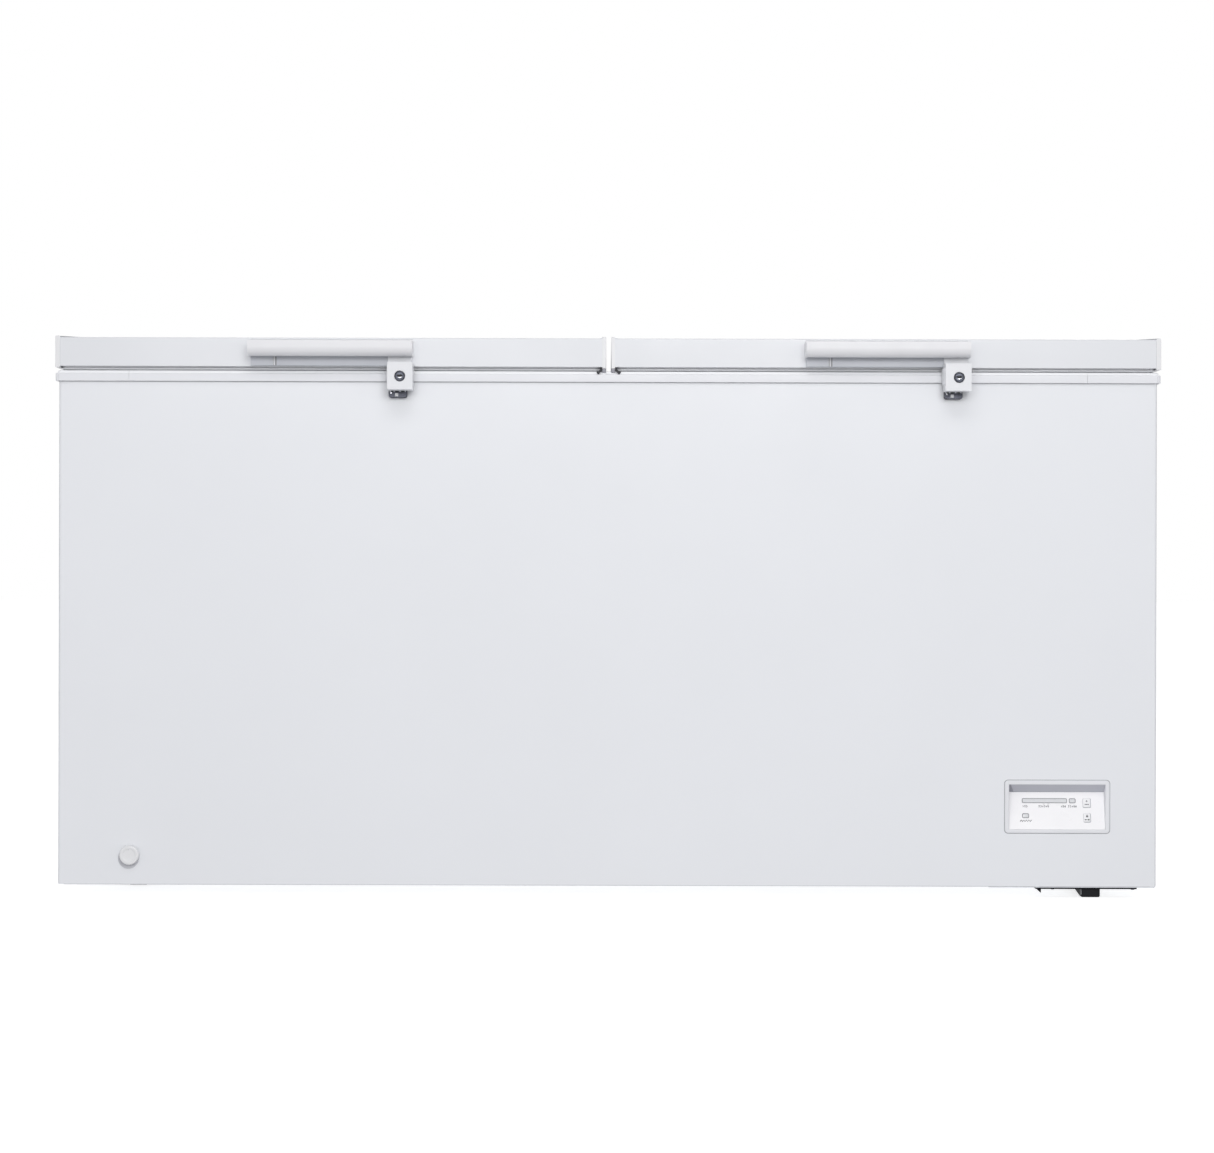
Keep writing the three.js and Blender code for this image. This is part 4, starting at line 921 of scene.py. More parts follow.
def control_panel():
    low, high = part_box("panel_bezel")
    x0, x1, z0, z1 = low.x + 0.2 * MM, high.x - 1 * MM, low.z + 1.1 * MM, high.z
    # the bezel's bottom edge is thinner than the others, and the face leans back in its window
    face_top, deep, thin = low.z + 61.6 * MM, 15 * MM, 0.84
    levels = (  # how far in, how far out from the sheet, and the corner's radius
        (0, 0.25, 5.2),
        (0, -1, 5.2),
        (0.5, -1.7, 4.8),
        (1.3, -1.9, 4.2),
        (5.2, -1.9, 1.2),
        (6, -1.6, 0.8),
        (6.4, -0.8, 0.6),
    )
    layers = []
    for inset, out, r in levels:
        m = inset * MM
        layers.append((x0 + m, x1 - m, z0 + m * thin, z1 - m, r * MM, CAB_FRONT + out * MM))
    bezel = stack("y", layers)

    def wall(*points):
        bm = bmesh.new()
        bm.faces.new([bm.verts.new(p) for p in points])
        return bm

    f, b = CAB_FRONT - 0.8 * MM, CAB_FRONT + deep
    a0, a1, c0, c1 = layers[-1][:4]
    # the hood is coloured grey and its left wall dark: painted shade under the bezel's top and side
    hood = wall((a0, f, c1), (a1, f, c1), (a1, b, face_top), (a0, b, face_top))
    left = wall((a0, f, c0), (a0, f, c1), (a0, b, face_top))
    right = wall((a1, f, c0), (a1, b, face_top), (a1, f, c1))
    # the hood's left end lies in the bezel's own shade
    end, lift = face_top - 0.1 * MM, 0.08 * MM
    start = ((a0, f + lift, c1 - lift), (a0, b - lift, end))
    corner = wall(*start, (a0 + 8.5 * MM, b - lift, end), (a0 + 2.6 * MM, f + lift, c1 - lift))
    parts = [(bezel, trim), (hood, hood_painted_shade), (left, hood_wall_painted_shade), (right, trim), (corner, hood_wall_painted_shade)]
    # a shadow line round the bezel where it meets the sheet
    layers = []
    for g, r in ((0.9 * MM, 5.8 * MM), (-0.1 * MM, 5.1 * MM)):
        layers.append((x0 - g, x1 + g, z0 - g, z1 + g, r, CAB_FRONT - 0.12 * MM))
    parts.append((stack("y", layers), groove_and_painted_light_grey))
    piece("bezel_moulding", parts, "cabinet", "white_plastic", "panel_bezel", smooth=28)

    # the leaning face has its own frame: x, height up the face, out from it
    lean = math.atan2(deep, face_top - c0)
    foot = Vector((0, CAB_FRONT - 0.6 * MM, c0))
    up = Vector((0, math.sin(lean), math.cos(lean)))
    out = Vector((0, -math.cos(lean), math.sin(lean)))

    def on_face(bm):
        """Takes a bmesh drawn in (x, height, out) to its place on the face."""
        for v in bm.verts:
            v.co = Vector((v.co.x, 0, 0)) + foot + up * v.co.y + out * v.co.z
        return bm

    def at(x):
        return low.x + x * MM

    def rise(z):
        return (low.z + z * MM - c0) / math.cos(lean)

    def spot(place, grow=0.0):
        """An area on the face, from millimetres right of and above the bezel's lower left corner."""
        g = grow * MM
        return at(place[0]) - g, at(place[1]) + g, rise(place[2]) - g, rise(place[3]) + g

    plate = prism(rect(a0, a1, 0, (face_top - c0) / math.cos(lean)), "z", -2 * MM, 0, 0.3 * MM)
    frames, windows = [], []
    bar, fast, run = (27.5, 94.2, 45.6, 51.9), (97.8, 107, 45.6, 51.9), (27.3, 36.7, 23.6, 29.8)
    for light in (bar, fast, run):
        edge = rect(*spot(light, 0.5), 2 * MM, 4)
        frames.append((on_face(prism(edge, "z", -0.55 * MM, 0.12 * MM, 0.15 * MM)), frame_grey))
        glass = rect(*spot(light, -0.62), 1.2 * MM, 4)
        windows.append((on_face(prism(glass, "z", -0.5 * MM, 0.22 * MM, 0.12 * MM)), lens))
    parts = [(on_face(plate), face_white)] + frames
    piece("panel_plate", parts, "cabinet", "face_white", "panel_face")
    piece("light_windows", windows, "cabinet", "lens_grey", "light_guide")

    # marks: numbers under the scale, two dashes and a wave
    def stroke(points, width=0.8, lift=0.06):
        """A printed line; its width and its height over the face are in millimetres."""
        bm = bmesh.new()
        pts = [Vector(p) for p in points]
        rails = []
        for before, here, after in zip(pts[:1] + pts, pts, pts[1:] + pts[-1:]):
            d = (after - before).normalized()
            n = Vector((-d.y, d.x)) * width * MM / 2
            rails.append([bm.verts.new((*(here + side), lift * MM)) for side in (n, -n)])
        for (a, b), (c, d) in zip(rails, rails[1:]):
            bm.faces.new((a, b, d, c))
        return on_face(bm), print_grey

    marks = []
    size, pitch, scale_y = 2.5 * MM, 2.7 * MM, rise(39.3)
    for text, x in (("123", 31.8), ("234345", 59.8), ("456", 89.3), ("23456", 102.8)):
        start = at(x) - pitch * len(text) / 2
        for k, digit in enumerate(text):
            left = start + k * pitch
            marks.append(stroke([(left + a * size * 0.8, scale_y + b * size) for a, b in DIGITS[digit]]))
    for x in (bar[0] + 30.5, bar[0] + 37.5):
        marks.append(stroke([(at(x), rise(43.8)), (at(x + 3), rise(43.8))], 0.5))
    run_mid, teeth = (run[0] + run[1]) / 2, 9
    wave = [(at(run_mid + (k - teeth / 2) * 1.9), rise(18.2) + k % 2 * 2.2 * MM) for k in range(teeth + 1)]
    marks.append(stroke(wave, 1.15))
    piece("panel_marks", marks, "cabinet", "gasket_grey")

    # the two keys, softly raised, with their own marks
    keys = {"set": (118.1, 129.3, 39.1, 52.2), "unlock": (118.5, 128.7, 17.6, 30.4)}
    levels = ((0, -3.5, 1.8), (0, 0.7, 1.8), (0.3, 1.2, 1.6), (0.9, 1.45, 1.2), (1.6, 1.5, 0.9))
    key_gaps_and_shadows = []
    for name, place in keys.items():
        layers = [(*spot(place, -inset), r * MM, lift * MM) for inset, lift, r in levels]
        parts = [(on_face(stack("z", layers, 4, caps=(-1, 0))), key_white)]
        xa, xb, ya, yb = spot(place)
        g = 0.3 * MM
        # the grey gap round each key is wider at the right and the bottom, a painted shadow of the raised
        # key
        key_gap_and_shadow = rect(xa - g, xb + 3 * g, ya - 3 * g, yb + g, 2.2 * MM, 4)
        key_gaps_and_shadows.append((on_face(prism(key_gap_and_shadow, "z", -0.5 * MM, 0.05 * MM)), key_gap_painted_shadow))
        mid, lower, upper = (xa + xb) / 2, ya + 4.2 * MM, yb - 4.4 * MM
        if name == "set":
            lines = [(near(mid, upper, (-1.6, 0), (1.6, 0)), 0.7)]
            lines += [(near(mid, upper, (0, -1.6), (0, 1.6)), 0.7)]
            lines += [(near(mid, lower, (a - 0.8, 0), (a + 0.8, 0)), 1.6) for a in (-2.2, 0, 2.2)]
        else:
            lines = [(arc(mid, upper + 0.4 * MM, 1.1 * MM, 0, 180, 8), 0.7)]
            lines += [(near(mid, upper, (-1.6, -0.9), (1.6, -0.9)), 2)]
            lines += [(near(mid, lower, (-3.6, -1), (-0.8, -1)), 1.5)]
            lines += [(near(mid, lower, (0.6, -1), (3.6, -1)), 1.9)]
        parts += [stroke(points, width, 1.56) for points, width in lines]
        piece(name + "_key_cap", parts, name + "_key", "face_white", name + "_button")
    piece("key_surrounds_and_shadows", key_gaps_and_shadows, "cabinet", "gasket_grey")


# ---------------------------------------------------------------- lids
def lid_shell(side, shift):
    half, depth_outer = LID_HALF, 7 * MM
    z0, z1 = LID_BOTTOM, LID_TOP
    profile = near(0, z0, (12, 2.2), (3, 1.4), (1.6, 0.2), (1, -0.6), (0.3, -0.6), (0, -0.3))
    profile += near(0, z1, (0, -1.8), (0.15, -1.1), (0.55, -0.5), (1.1, -0.14), (1.8, 0), (40, 0.15))

    def radius(inset):
        return max(5 * MM - inset * 0.2, 1.5 * MM)

    x = half - 2 * MM
    parts = [(ring(profile, -x, x, FRONT, REAR, radius, closed=False, caps=(-1,)), lid_painted_shade_enamel)]
    # the ends are closed by moulded caps, a little proud of the sheet on every side
    for s in (-1, 1):
        outer_end = (s < 0) == (side == "left")
        clear = 0 if outer_end else INNER_CLEAR[side]
        depth = depth_outer if outer_end else CAP_WIDTH + clear
        a, b = sorted((s * (half - clear), s * (half - depth)))
        radii = mm(0.8, 2, 4.5, 1.8)
        outline = rect(FRONT - 0.25 * MM, REAR + 0.1 * MM, z0 - 2.8 * MM, CAP_TOP, radii)
        parts.append((prism(outline, "x", a, b, 0.6 * MM), cap_white))
        # the top sheet climbs to the cap, over a long way at the outer end, with a grey joint in front
        inner = s * (half - depth - (33 if outer_end else 4) * MM)
        foot = s * (half - depth + 0.5 * MM)
        ramp = [(foot, z1 - 0.8 * MM), (foot, CAP_TOP - 0.4 * MM), (inner, z1 - 0.1 * MM)]
        start = FRONT + (4.6 if outer_end else 2.0) * MM
        parts.append((prism(ramp, "y", start, REAR - 3.6 * MM), lid_painted_shade_enamel))
        if outer_end:
            parts.append((prism(ramp, "y", FRONT + 2.2 * MM, FRONT + 4.5 * MM), groove_and_painted_light_grey))
            seam = s * (half - depth - 0.15 * MM)
            line = rect(seam - 0.25 * MM, seam + 0.25 * MM, z0 + 1 * MM, z1 - 2.5 * MM)
            parts.append((prism(line, "y", FRONT - 0.06 * MM, FRONT + 1 * MM), seam_and_painted_shade_grey))
    piece("lid_shell_" + side, parts, side + "_lid", "white_steel", "lid_skin_" + side, shift=shift)


def lid_gasket(side, shift):
    """The magnet strip that meets the rim, the bellows above it, and the root and the fold coloured darker
    as painted shade.
    """
    body, low, z0 = side + "_lid", LAND + 0.25 * MM, LID_BOTTOM
    strip = near(0, low, (15.6, 0), (28, 0), (30, 0.6), (30, 3.4), (14, 3.4))
    strip += near(0, low, (8.9, 3.1), (8.2, 2.4), (8.6, 1.5), (11.6, 0.6))
    bellows = near(0, low, (12.6, 3.2), (20, 3.2))
    bellows += near(0, z0, (20, 2.5), (8.6, 2.5), (8.6, -0.2), (9.4, -1.3))
    root = near(0, z0, (3.2, 0.1), (7.5, -0.4), (9, 1.5), (3.2, 1.5))
    fold = near(0, low, (9.6, 0.1), (14.6, -0.1), (14.6, 1.5), (9.8, 1.3))
    parts = []
    beads = ((strip, gasket_vinyl), (bellows, gasket_vinyl), (root, gasket_painted_shade), (fold, gasket_painted_shade))
    for profile, material in beads:
        bead = ring(profile, -LID_HALF, LID_HALF, FRONT, REAR, lambda inset: 6 * MM)
        parts.append((bead, material))
    piece("gasket_" + side, parts, body, "gasket_grey", "lid_gasket_" + side, smooth=50, shift=shift)

    # the corner where both gaskets meet: a grey end and a dark rubber latch on a peg
    toward = -1 if side == "left" else 1
    end = toward * (INNER_CLEAR[side] - LID_HALF)
    x = end + toward * CAP_WIDTH
    a, b = sorted((end, x))
    stub = block((a, FRONT + 0.3 * MM, LAND - 2.9 * MM), (b, FRONT + 16 * MM, z0 - 2.9 * MM), 0.9 * MM)
    # the latch's outline: along the lid, below the lid's lower edge
    hook = [(0.3, 2.7), (2.3, 2.1), (3.5, 4.6), (5, 6.5), (7.7, 7)]
    hook += [(8.6, 8.4), (6.9, 11.1), (5, 11.5), (2.7, 8.4), (0, 6.2)]
    latch = rounded(near(x, z0, *[(toward * along, -down) for along, down in hook]), 0.4 * MM, 3)
    clip = prism(latch, "y", FRONT - 1.3 * MM, FRONT - 0.15 * MM, 0.25 * MM)
    a, b = sorted((x - toward * 0.5 * MM, x + toward * 1.8 * MM))
    peg = block((a, FRONT - 0.3 * MM, LAND + 0.6 * MM), (b, FRONT + 5.8 * MM, z0 - 3.2 * MM), 0.4 * MM)
    parts = [(stub, gasket_end), (clip, dark_rubber), (peg, dark_rubber)]
    piece("gasket_corner_" + side, parts, body, "gasket_grey", shift=shift)


def lid_lining(side, shift):
    """The inner moulding, with a raised field and stiffening ribs."""
    low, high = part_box("lid_liner_" + side)
    low, high = low - Vector(shift), high - Vector(shift)
    plug_x, plug_y0, plug_y1 = 0.32, CAB_FRONT + 98 * MM, CAB_REAR - 98 * MM
    x_gap, y_gap = high.x - plug_x, plug_y0 - low.y
    deep, flange = low.z, high.z - 2 * MM
    levels = [(0, high.z), (0, flange), (0.86, flange)]  # the share of the gap, and the height
    levels += [(0.93, flange - 1 * MM), (0.965, flange - 4 * MM)]
    levels += [(1.0, deep + 4 * MM), (1.03, deep + 1 * MM), (1.09, deep)]
    layers = []
    for share, z in levels:
        gx, gy, radius = x_gap * share, y_gap * share, 4.5 * MM + 10 * MM * min(share, 1)
        layers.append((low.x + gx, high.x - gx, low.y + gy, high.y - gy, radius, z))
    parts = [(stack("z", layers, caps=(-1,)), liner_white)]
    for k in range(-2, 3):
        x = k * 118 * MM
        rib = rect(x - 30 * MM, x + 30 * MM, plug_y0 + 45 * MM, plug_y1 - 45 * MM, 29.9 * MM, 8)
        parts.append((prism(rib, "z", deep - 1.3 * MM, deep + 0.5 * MM, 1.0 * MM, 3), liner_white))
    piece("lid_lining_" + side, parts, side + "_lid", "white_plastic", "lid_liner_" + side, shift=shift)


def handle(side, shift):
    """A pull bar like an awning, its support block at the left and the lock's at the right."""
    x0, x1 = HANDLE_LOW.x - LID_CENTRE - 0.8 * MM, HANDLE_HIGH.x - LID_CENTRE - 1.3 * MM
    top, under = HANDLE_HIGH.z, HANDLE_HIGH.z - 23.1 * MM
    r, crown, wall = 13 * MM, 1.8 * MM, 3 * MM
    back, nose = FRONT - 0.05 * MM, HANDLE_LOW.y
    edge = nose + r + 6 * MM

    def section(t):
        """The bar's outer line, t inside it."""
        points = [(back, top - t)]
        points += arc(nose + crown, top - crown, max(crown - t, 0.1 * MM), 90, 180, 4)
        points += arc(nose + r, under + r, r - t, 180, 270, 10)
        return points

    outer = section(0) + [(edge - 0.8 * MM, under), (edge, under + 0.8 * MM), (edge, under + wall)]
    inner = section(wall)
    inner[1:6] = [(nose + wall, top - wall)]
    full = section(0) + [(edge, under), (back, under)]
    parts = [
        (prism(outer + inner[::-1], "x", x0 + 2 * MM, x1 - 2 * MM), handle_white),
        (prism(full, "x", x0 - 0.7 * MM, x0 + 2 * MM), handle_white),
        (prism(full, "x", x1 - 2 * MM, x1), handle_white),
    ]
    # a shadow joint where the bar's top meets the lid, over the bar's flange
    joint = rect(back, ahead(0.8), top + 3.0 * MM, top + 3.9 * MM)
    parts.append((prism(joint, "x", x0 + 0.5 * MM, x1 - 0.5 * MM), seam_and_painted_shade_grey))
    flange = rect(back, ahead(1.0), top - 2 * MM, top + 3.0 * MM)
    parts.append((prism(flange, "x", x0, x1, 0.3 * MM, 1), handle_white))
    # a set-back plate under the bar, coloured grey-blue as painted shade, with an upright rib between two
    # grooves near its left end, drawn as dark strips of painted shadow
    z_low, z_high = LID_BOTTOM + 0.2 * MM, top - 4 * MM
    plate = rect(back, ahead(8), z_low, z_high)
    parts.append((prism(plate, "x", x0 + 1.2 * MM, x1 - 30 * MM, 0.3 * MM), handle_backing_painted_shade))
    rib = [(back, z_low), (back, z_high), (ahead(10.5), z_high), (ahead(10.5), z_low)]
    rib = rounded(rib, mm(0, 0, 1, 1), 4)
    parts.append((prism(rib, "x", x0 + 35.6 * MM, x0 + 37.4 * MM, 0.4 * MM), handle_white))
    for a, b in ((34.9, 35.6), (37.4, 40.0)):
        groove = block((x0 + a * MM, ahead(8.3), z_low), (x0 + b * MM, ahead(7.9), under), 0.1 * MM)
        parts.append((groove, groove_and_painted_light_grey))
    # the block that carries the lock, with its outer corner cut off
    a, b = x1 - (LOCK_HIGH.x - LOCK_LOW.x) + 1.0 * MM, x1 - 0.4 * MM
    low, high = LOCK_HIGH.z - 4.5 * MM, top - 5 * MM
    neck = [(a, low), (b - 4 * MM, low), (b, under + 1.2 * MM), (b, high), (a, high)]
    parts.append((prism(neck, "y", ahead(14), back, 0.4 * MM), housing_white))
    name, node = "pull_bar_" + side, "handle_" + side
    piece(name, parts, side + "_lid", "white_plastic", node, shift=shift, smooth=35)


def lock(side, shift):
    x0, x1 = LOCK_LOW.x - LID_CENTRE + 0.4 * MM, LOCK_HIGH.x - LID_CENTRE - 0.2 * MM
    if side == "right":
        x0, x1 = x0 - 1.8 * MM, x1 - 0.5 * MM
    y0, z0, z1 = LOCK_LOW.y, LOCK_LOW.z, LOCK_HIGH.z - 3.1 * MM
    axis = middle(BARREL_LOW, BARREL_HIGH)
    x, z = axis.x - LID_CENTRE, axis.z
    r = (BARREL_HIGH.x - BARREL_LOW.x) / 2
    w = 2.4 * MM
    case = [(prism(rect(x0, x1, z0, z1, 0.35 * MM, 3), "y", y0, ahead(8), 0.25 * MM), housing_white)]
    hollow = block((x0 + w, y0 + w, z0 + w), (x1 - w, ahead(6), z1 - w))
    hole = rod("y", r + 0.5 * MM, y0 - THROUGH, y0 + THROUGH, (x, z), 40)
    on_lid = {"body": side + "_lid", "slot": "white_plastic", "shift": shift}
    piece("lock_case_" + side, case, replaces="lock_housing_" + side, cutters=[hollow, hole], **on_lid)
    # behind it, the tongue and the curved cheek that leads down to the keeper
    start = (x0 + 0.4 * MM, ahead(12), LID_BOTTOM + 1 * MM)
    tongue = block(start, (x1 - 0.4 * MM, FRONT - 0.05 * MM, z1 - 0.4 * MM), 0.5 * MM)
    cheek = near(y0, z0, (12, 8)) + [(ahead(6), z0 + 10 * MM), (ahead(1), LAND - 2 * MM)]
    cheek += [(ahead(1), z1 - 6 * MM), (y0 + 12 * MM, z1 - 6 * MM)]
    web = prism(rounded(cheek, mm(4, 6, 3, 0, 0), 4), "x", x0 - 1.6 * MM, x0 + 1.2 * MM, 0.7 * MM)
    piece("lock_tongue_" + side, [(tongue, housing_white), (web, housing_white)], **on_lid)

    # barrel: rounded lip, plug face set in, keyway painted dark as painted shade, and a bright crescent
    # below it, a painted highlight
    profile = [(0, ahead(4.3)), (r - 0.6 * MM, ahead(4.3)), (r, ahead(5))]
    profile += near(r, y0, (0, 0.9), (-0.4, 0.25), (-1, 0), (-1.9, 0.25), (-2.2, 0.9))
    profile += [(0, y0 + 0.7 * MM)]
    bump = rect(x - 1.3 * MM, x + 1.3 * MM, z + r - 1 * MM, z + r + 0.9 * MM, 0.5 * MM, 3)
    keyway = arc(x, z - 2.9 * MM, 5.8 * MM, 35, 145, 10) + arc(x, z + 5.2 * MM, 6.4 * MM, 222, 318, 10)
    ward = rect(x - 1.4 * MM, x + 0.2 * MM, z + 1.7 * MM, z + 2.9 * MM, 0.3 * MM, 3)
    painted_glint = arc(x, z + 2.5 * MM, 5.2 * MM, 236, 310, 10)
    near_face, set_in = y0 + 0.25 * MM, y0 + 1 * MM
    parts = [
        (turned(profile, "y", (x, z), 48), lock_metal),
        (prism(bump, "y", y0 + 0.3 * MM, y0 + 3 * MM, 0.2 * MM), lock_metal),
        (prism(keyway, "y", y0 + 0.3 * MM, y0 + 1.2 * MM), hollow_painted_shade),
        (prism(ward, "y", near_face, set_in), lock_metal),
        (prism(painted_glint, "y", near_face, set_in), bright_metal),
    ]
    turning = {"body": side + "_lock", "slot": "dark_chrome", "shift": shift}
    piece("lock_barrel_" + side, parts, replaces="lock_cylinder_" + side, **turning)
    # the hooked cam behind, shown unlocked: arm to the right, foot down
    hook = near(x, z, (-5, 3.5), (-5, -3.5), (13.3, -3.5), (13.3, -12), (18, -12), (18, 3.5))
    cam = prism(rounded(hook, mm(3, 3, 1, 0.8, 1.2, 2.4), 4), "y", ahead(4), ahead(1.5), 0.35 * MM)
    nut = rod("y", 4.6 * MM, ahead(1.5), ahead(0.4), (x, z), 6, 0.3 * MM)
    parts = [(cam, keeper_metal), (nut, bright_metal)]
    piece("lock_hook_" + side, parts, replaces="lock_cam_" + side, **turning)


def keeper(side):
    """The pressed plate on the cabinet that takes the lock's hook."""
    low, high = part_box("keeper_" + side)
    high.x -= 1.9 * MM
    low.z += 1.2 * MM
    sheet, mid = 1.5 * MM, (low.x + high.x) / 2
    y0, y1 = low.y + 0.8 * MM, high.y - 0.5 * MM
    outline = rect(low.x, high.x, low.z, high.z, 3.6 * MM)
    front = prism(outline, "y", low.y, low.y + sheet, 0.5 * MM, 3)
    rear = prism(outline, "y", high.y - sheet, high.y + 0.25 * MM, 0.3 * MM)
    wall = block((low.x, y0, low.z + 3 * MM), (low.x + sheet, y1, high.z - 2 * MM), 0.4 * MM)
    floor = block((low.x + 3 * MM, y0, low.z), (high.x - 3 * MM, y1, low.z + sheet), 0.4 * MM)
    lip = block((low.x + 1 * MM, y0, high.z - 1.8 * MM), (mid - 1 * MM, y1, high.z), 0.4 * MM)
    parts = [(bm, keeper_metal) for bm in (front, rear, wall, floor, lip)]
    x, z = mid - 1.7 * MM, low.z + 4.4 * MM
    window = prism(oblong(x, z, 2.6, 2.6, 0.8, 3), "y", low.y - THROUGH, low.y + THROUGH / 2)
    piece("keeper_strike_" + side, parts, "cabinet", "dark_chrome", "keeper_" + side, cutters=[window])
    # light caught in the window
    gleam = prism(oblong(x, z, 2.5, 2.4, 0.6, 3), "y", low.y + 0.6 * MM, low.y + 1.6 * MM)
    parts = [(gleam, cap_white)]
    # the hook's slots above the window, painted dark as painted shade, between bright edges that are
    # painted highlights
    y0, y1 = low.y - 0.05 * MM, low.y + 0.4 * MM
    for dx, w in ((-9.2, 3.4), (-1.6, 3.6), (7.6, 4.2)):
        slot = oblong(mid + dx * MM, high.z - 9.3 * MM, w / 2, 1.9, 0.7, 3)
        parts.append((prism(slot, "y", y0, y1), hollow_painted_shade))
    for dx in (-5.4, 3.4, 11.2):
        edge = oblong(mid + dx * MM, high.z - 9.2 * MM, 0.55, 1.4, 0.5, 3)
        parts.append((prism(edge, "y", y0, y1), bright_metal))
    # a slanted bright fin near the top left, a painted highlight
    fin = near(low.x, high.z, (1.2, -8), (3, -8), (5, -13), (3.4, -13.4))
    parts.append((prism(fin, "y", y0, y1), bright_metal))
    for dx in (-9.5 * MM, 6 * MM):
        parts += screw("y", (mid + dx, low.z + 8 * MM), high.y - sheet, -1, 2.4 * MM, 10)
    piece("keeper_gleam_" + side, parts, "cabinet", "dark_chrome")


# ---------------------------------------------------------------- hinges
def hinges():
    names = {
        "left_outer": ("left", "west"),
        "left_inner": ("left", "east"),
        "right_inner": ("right", "west"),
        "right_outer": ("right", "east"),
    }
    for name, (side, hand) in names.items():
        low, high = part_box("hinge_base_" + name)
        x, rear = middle(low, high).x, high.y
        pin_y, pin_z = rear - 10 * MM, LAND + 15 * MM
        back = CAB_REAR + 0.3 * MM
        plate = rect(x - 22 * MM, x + 22 * MM, low.z, RIM_BOTTOM - 2 * MM, 4 * MM)
        parts = [(prism(plate, "y", CAB_REAR + 0.2 * MM, CAB_REAR + 2.4 * MM, 0.4 * MM), zinc)]
        cheek = near(CAB_REAR, low.z, (0.3, 5), (16, 17))
        cheek += [(rear, low.z + 45 * MM), (rear, pin_z + 9.4 * MM)]
        cheek += [(pin_y - 9 * MM, pin_z + 9.4 * MM), (pin_y - 9 * MM, RIM_BOTTOM - 3 * MM)]
        cheek = rounded(cheek + [(back, RIM_BOTTOM - 3 * MM)], mm(1, 6, 6, 9.3, 9, 1, 0.5), 6)
        for dx in (-19 * MM, 16.5 * MM):
            parts.append((prism(cheek, "x", x + dx, x + dx + 2.5 * MM, 0.4 * MM), zinc))
        web = rect(x - 18 * MM, x + 18 * MM, low.z + 45 * MM, LAND + 3 * MM, 1 * MM)
        parts.append((prism(web, "y", rear - 2 * MM, rear, 0.4 * MM), zinc))
        pin = arc(pin_y, pin_z, 3.9 * MM, 0, 345, 23)
        parts.append((prism(pin, "x", x - 21 * MM, x + 21 * MM, 0.6 * MM, 2, 40), bright_metal))
        for dz in (20, 62, 104):
            parts += screw("y", (x, low.z + dz * MM), CAB_REAR + 2.4 * MM, 1, 4 * MM, dz * 3)
        # the counterbalance spring inside the bracket
        turns, count, coil_radius = 11, 11 * 12, 7 * MM
        coil_low, coil_high, coil_y = low.z + 34 * MM, LAND - 10 * MM, CAB_REAR + 12.4 * MM
        coil = []
        for k in range(count + 1):
            a, z = 2 * math.pi * turns * k / count, coil_low + (coil_high - coil_low) * k / count
            coil.append((x + coil_radius * math.cos(a), coil_y + coil_radius * math.sin(a), z))
        parts.append((tube(coil, 1.3 * MM, 6), lock_metal))
        piece("hinge_bracket_" + name, parts, "cabinet", "galvanised", "hinge_base_" + name)

        node = "hinge_leaf_" + side + "_" + hand
        low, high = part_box(node)
        leaf = rect(low.x, high.x, low.z + 0.2 * MM, high.z, 3 * MM)
        parts = [(prism(leaf, "y", REAR + 0.2 * MM, REAR + 2.1 * MM, 0.4 * MM), zinc)]
        near_sheet, ear_radius = REAR + 0.3 * MM, 7.4 * MM
        ear = [(near_sheet, pin_z - ear_radius)] + arc(pin_y, pin_z, ear_radius, -90, 90, 12)
        ear += [(near_sheet, pin_z + ear_radius)]
        for a, b in ((low.x, low.x + 2.5 * MM), (high.x - 2.5 * MM, high.x)):
            parts.append((prism(ear, "x", a, b, 0.3 * MM), zinc))
        for dz in (19, 31):
            head = (middle(low, high).x, low.z + dz * MM)
            parts += screw("y", head, REAR + 2.1 * MM, 1, 3.4 * MM, dz * 5)
        piece("hinge_plate_" + side + "_" + hand, parts, side + "_lid", "galvanised", node)


# ---------------------------------------------------------------- CAD nodes that stay as they are
KEPT = {
    "foam_insulation": insulation,
    "evaporator_coil": copper_tube,
    "compressor": compressor_black,
    "filter_drier_and_pipes": copper_tube,
    "control_box": trim,
    "cord_gland": black_plastic,
    "panel_board": circuit,
    "drain_pipe": trim,
    "drain_spout": trim,
    "lid_foam_left": insulation,
    "lid_foam_right": insulation,
}


def kept_nodes():
    for name, material in KEPT.items():
        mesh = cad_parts[name].data
        mesh.materials.clear()
        mesh.materials.append(material)


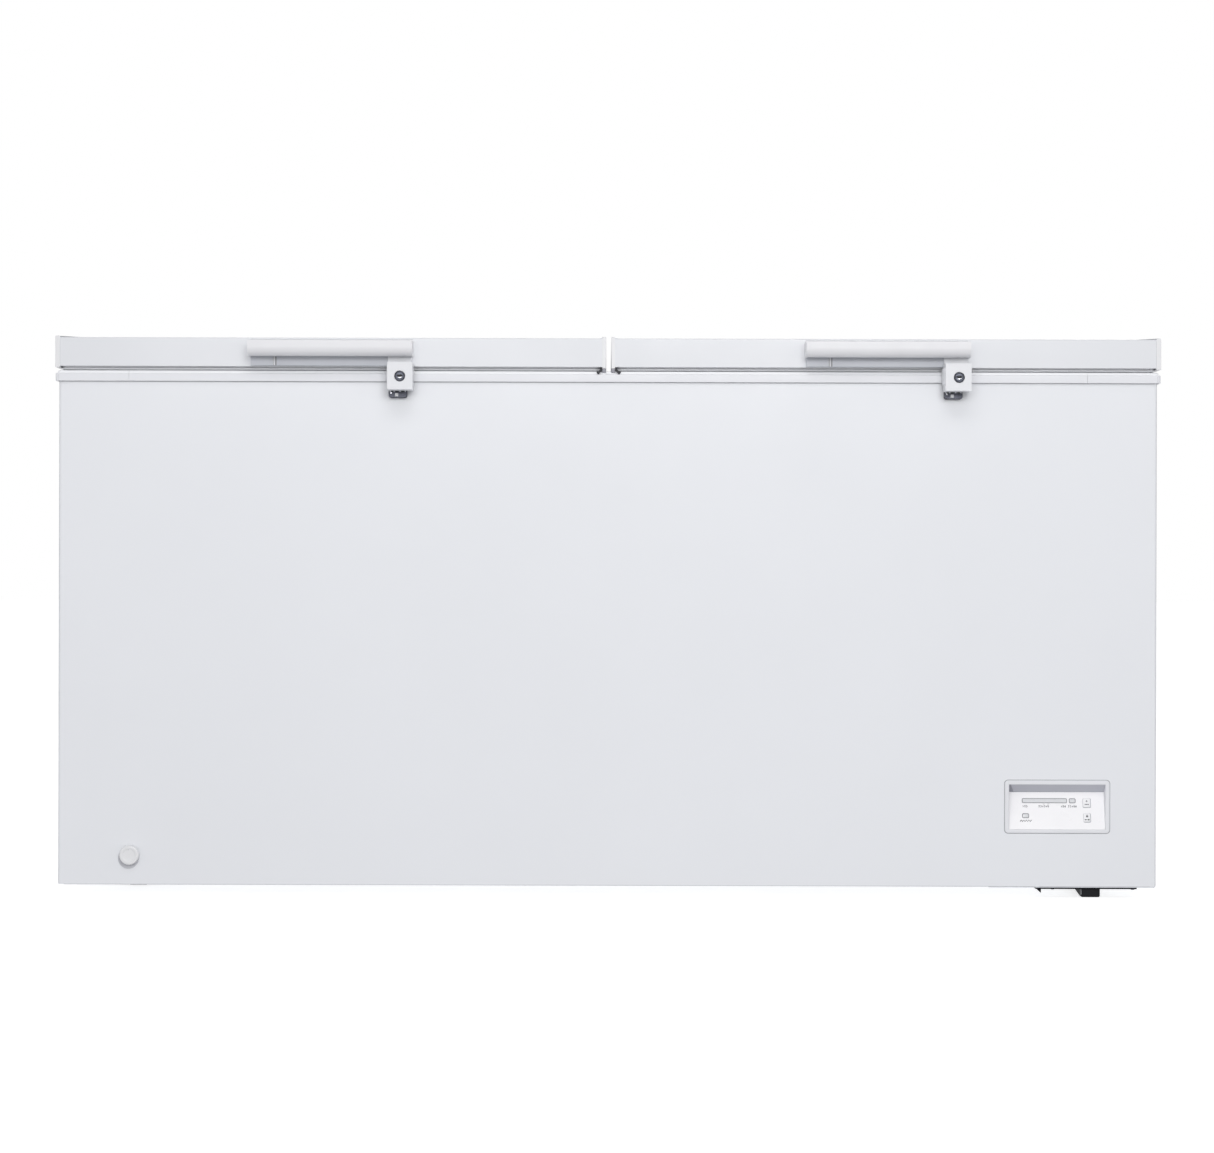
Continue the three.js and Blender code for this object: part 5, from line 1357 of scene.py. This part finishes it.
# ---------------------------------------------------------------- stage, light and camera
def stage():
    reach, rings, around = 60.0, 14, 48
    floor = turned([(reach * (k / rings) ** 2, 0) for k in range(rings + 1)], "z", (0, 0), around)
    bmesh.ops.reverse_faces(floor, faces=floor.faces)
    mesh = bpy.data.meshes.new("studio_floor")
    floor.to_mesh(mesh)
    floor.free()
    n = Nodes("studio floor")
    n.finish(
        Base_Color=n.blend(n.span(n.noise(0.6, 3), 0, 1), (0.54, 0.54, 0.545), (0.56, 0.56, 0.565)),
        Roughness=0.8,
        Emission_Color=(1.0, 1.0, 1.0),
        Emission_Strength=0.74,
        Normal=n.bump(n.noise(300, 2), 0.00002),
    )
    mesh.materials.append(n.material)
    obj = linked("studio_floor", mesh)
    obj.visible_diffuse = False

    # a bright band at the horizon over a dimmer ceiling, and dimmer still from below
    world = bpy.data.worlds.new("studio")
    world.use_nodes = True
    bpy.context.scene.world = world
    tree = world.node_tree
    back = tree.nodes["Background"]
    place = tree.nodes.new("ShaderNodeTexCoord")
    split = tree.nodes.new("ShaderNodeSeparateXYZ")
    height = tree.nodes.new("ShaderNodeMapRange")
    height.inputs["From Min"].default_value = -1
    ramp = tree.nodes.new("ShaderNodeValToRGB")
    tree.links.new(place.outputs["Generated"], split.inputs[0])
    tree.links.new(split.outputs["Z"], height.inputs[0])
    tree.links.new(height.outputs[0], ramp.inputs[0])
    tree.links.new(ramp.outputs[0], back.inputs[0])
    stops = ((0.0, 0.40), (0.47, 0.52), (0.494, 1.0), (0.595, 1.0), (0.66, 0.5), (1.0, 0.38))
    elements = ramp.color_ramp.elements
    for position, level in stops[1:-1]:
        elements.new(position)
    for element, (position, level) in zip(elements, stops):
        element.position = position
        element.color = (level, level, level * (1 + 0.06 * (1 - level)), 1)


def lamp(name, place, aim, size, power):
    """A rectangular area light; its power is in watts."""
    data = bpy.data.lights.new(name, "AREA")
    data.shape = "RECTANGLE"
    data.size, data.size_y = size
    data.energy = power
    obj = linked(name, data)
    obj.location = place
    obj.rotation_euler = (Vector(aim) - Vector(place)).to_track_quat("-Z", "Y").to_euler()


def lights():
    lamp("key_left", (-0.75, -4.9, 1.55), (0, 0, 0.5), (1.2, 1.1), 15)
    lamp("key_right", (0.65, -4.9, 1.8), (0, 0, 0.5), (1.2, 1.1), 45)
    lamp("key_above", (0.0, -3.4, 3.4), (0, -0.3, 0.6), (2.0, 1.0), 24)
    lamp("fill_left", (-4.2, 0.8, 1.9), (0, 0, 0.4), (2.2, 2.4), 9)
    lamp("fill_right", (4.2, 0.8, 1.9), (0, 0, 0.4), (2.2, 2.4), 9)
    lamp("top", (0.0, 0.6, 4.2), (0, 0, 0), (4.5, 3.0), 14)
    lamp("back", (0.0, 4.5, 3.0), (0, 0, 0.4), (4.0, 2.0), 45)


def camera():
    """The photograph's view: place, lens and roll were matched to the freezer's edges in it."""
    data = bpy.data.cameras.new("camera")
    data.sensor_width = 36
    data.lens = 97.4
    data.clip_start, data.clip_end = 0.1, 200
    obj = linked("camera", data)
    obj.location = (-0.001, FRONT - 4.9, 0.478)
    level = Vector((0, 1, 0)).to_track_quat("-Z", "Y").to_matrix().to_4x4()
    roll = Matrix.Rotation(math.radians(0.15), 4, "Z")
    obj.rotation_euler = (level @ roll).to_euler()
    bpy.context.scene.camera = obj


# ---------------------------------------------------------------- everything
camera()
stage()
lights()
cabinet()
rear_sheet()
rim()
centre_bar()
interior()
baskets()
drain()
feet()
base()
vent()
control_panel()
for name, centre in LIDS.items():
    shift = (centre, 0, 0)
    lid_shell(name, shift)
    lid_gasket(name, shift)
    lid_lining(name, shift)
    handle(name, shift)
    lock(name, shift)
    keeper(name)
hinges()
kept_nodes()
bpy.context.scene.view_settings.view_transform = "Standard"

bpy.context.view_layer.update()
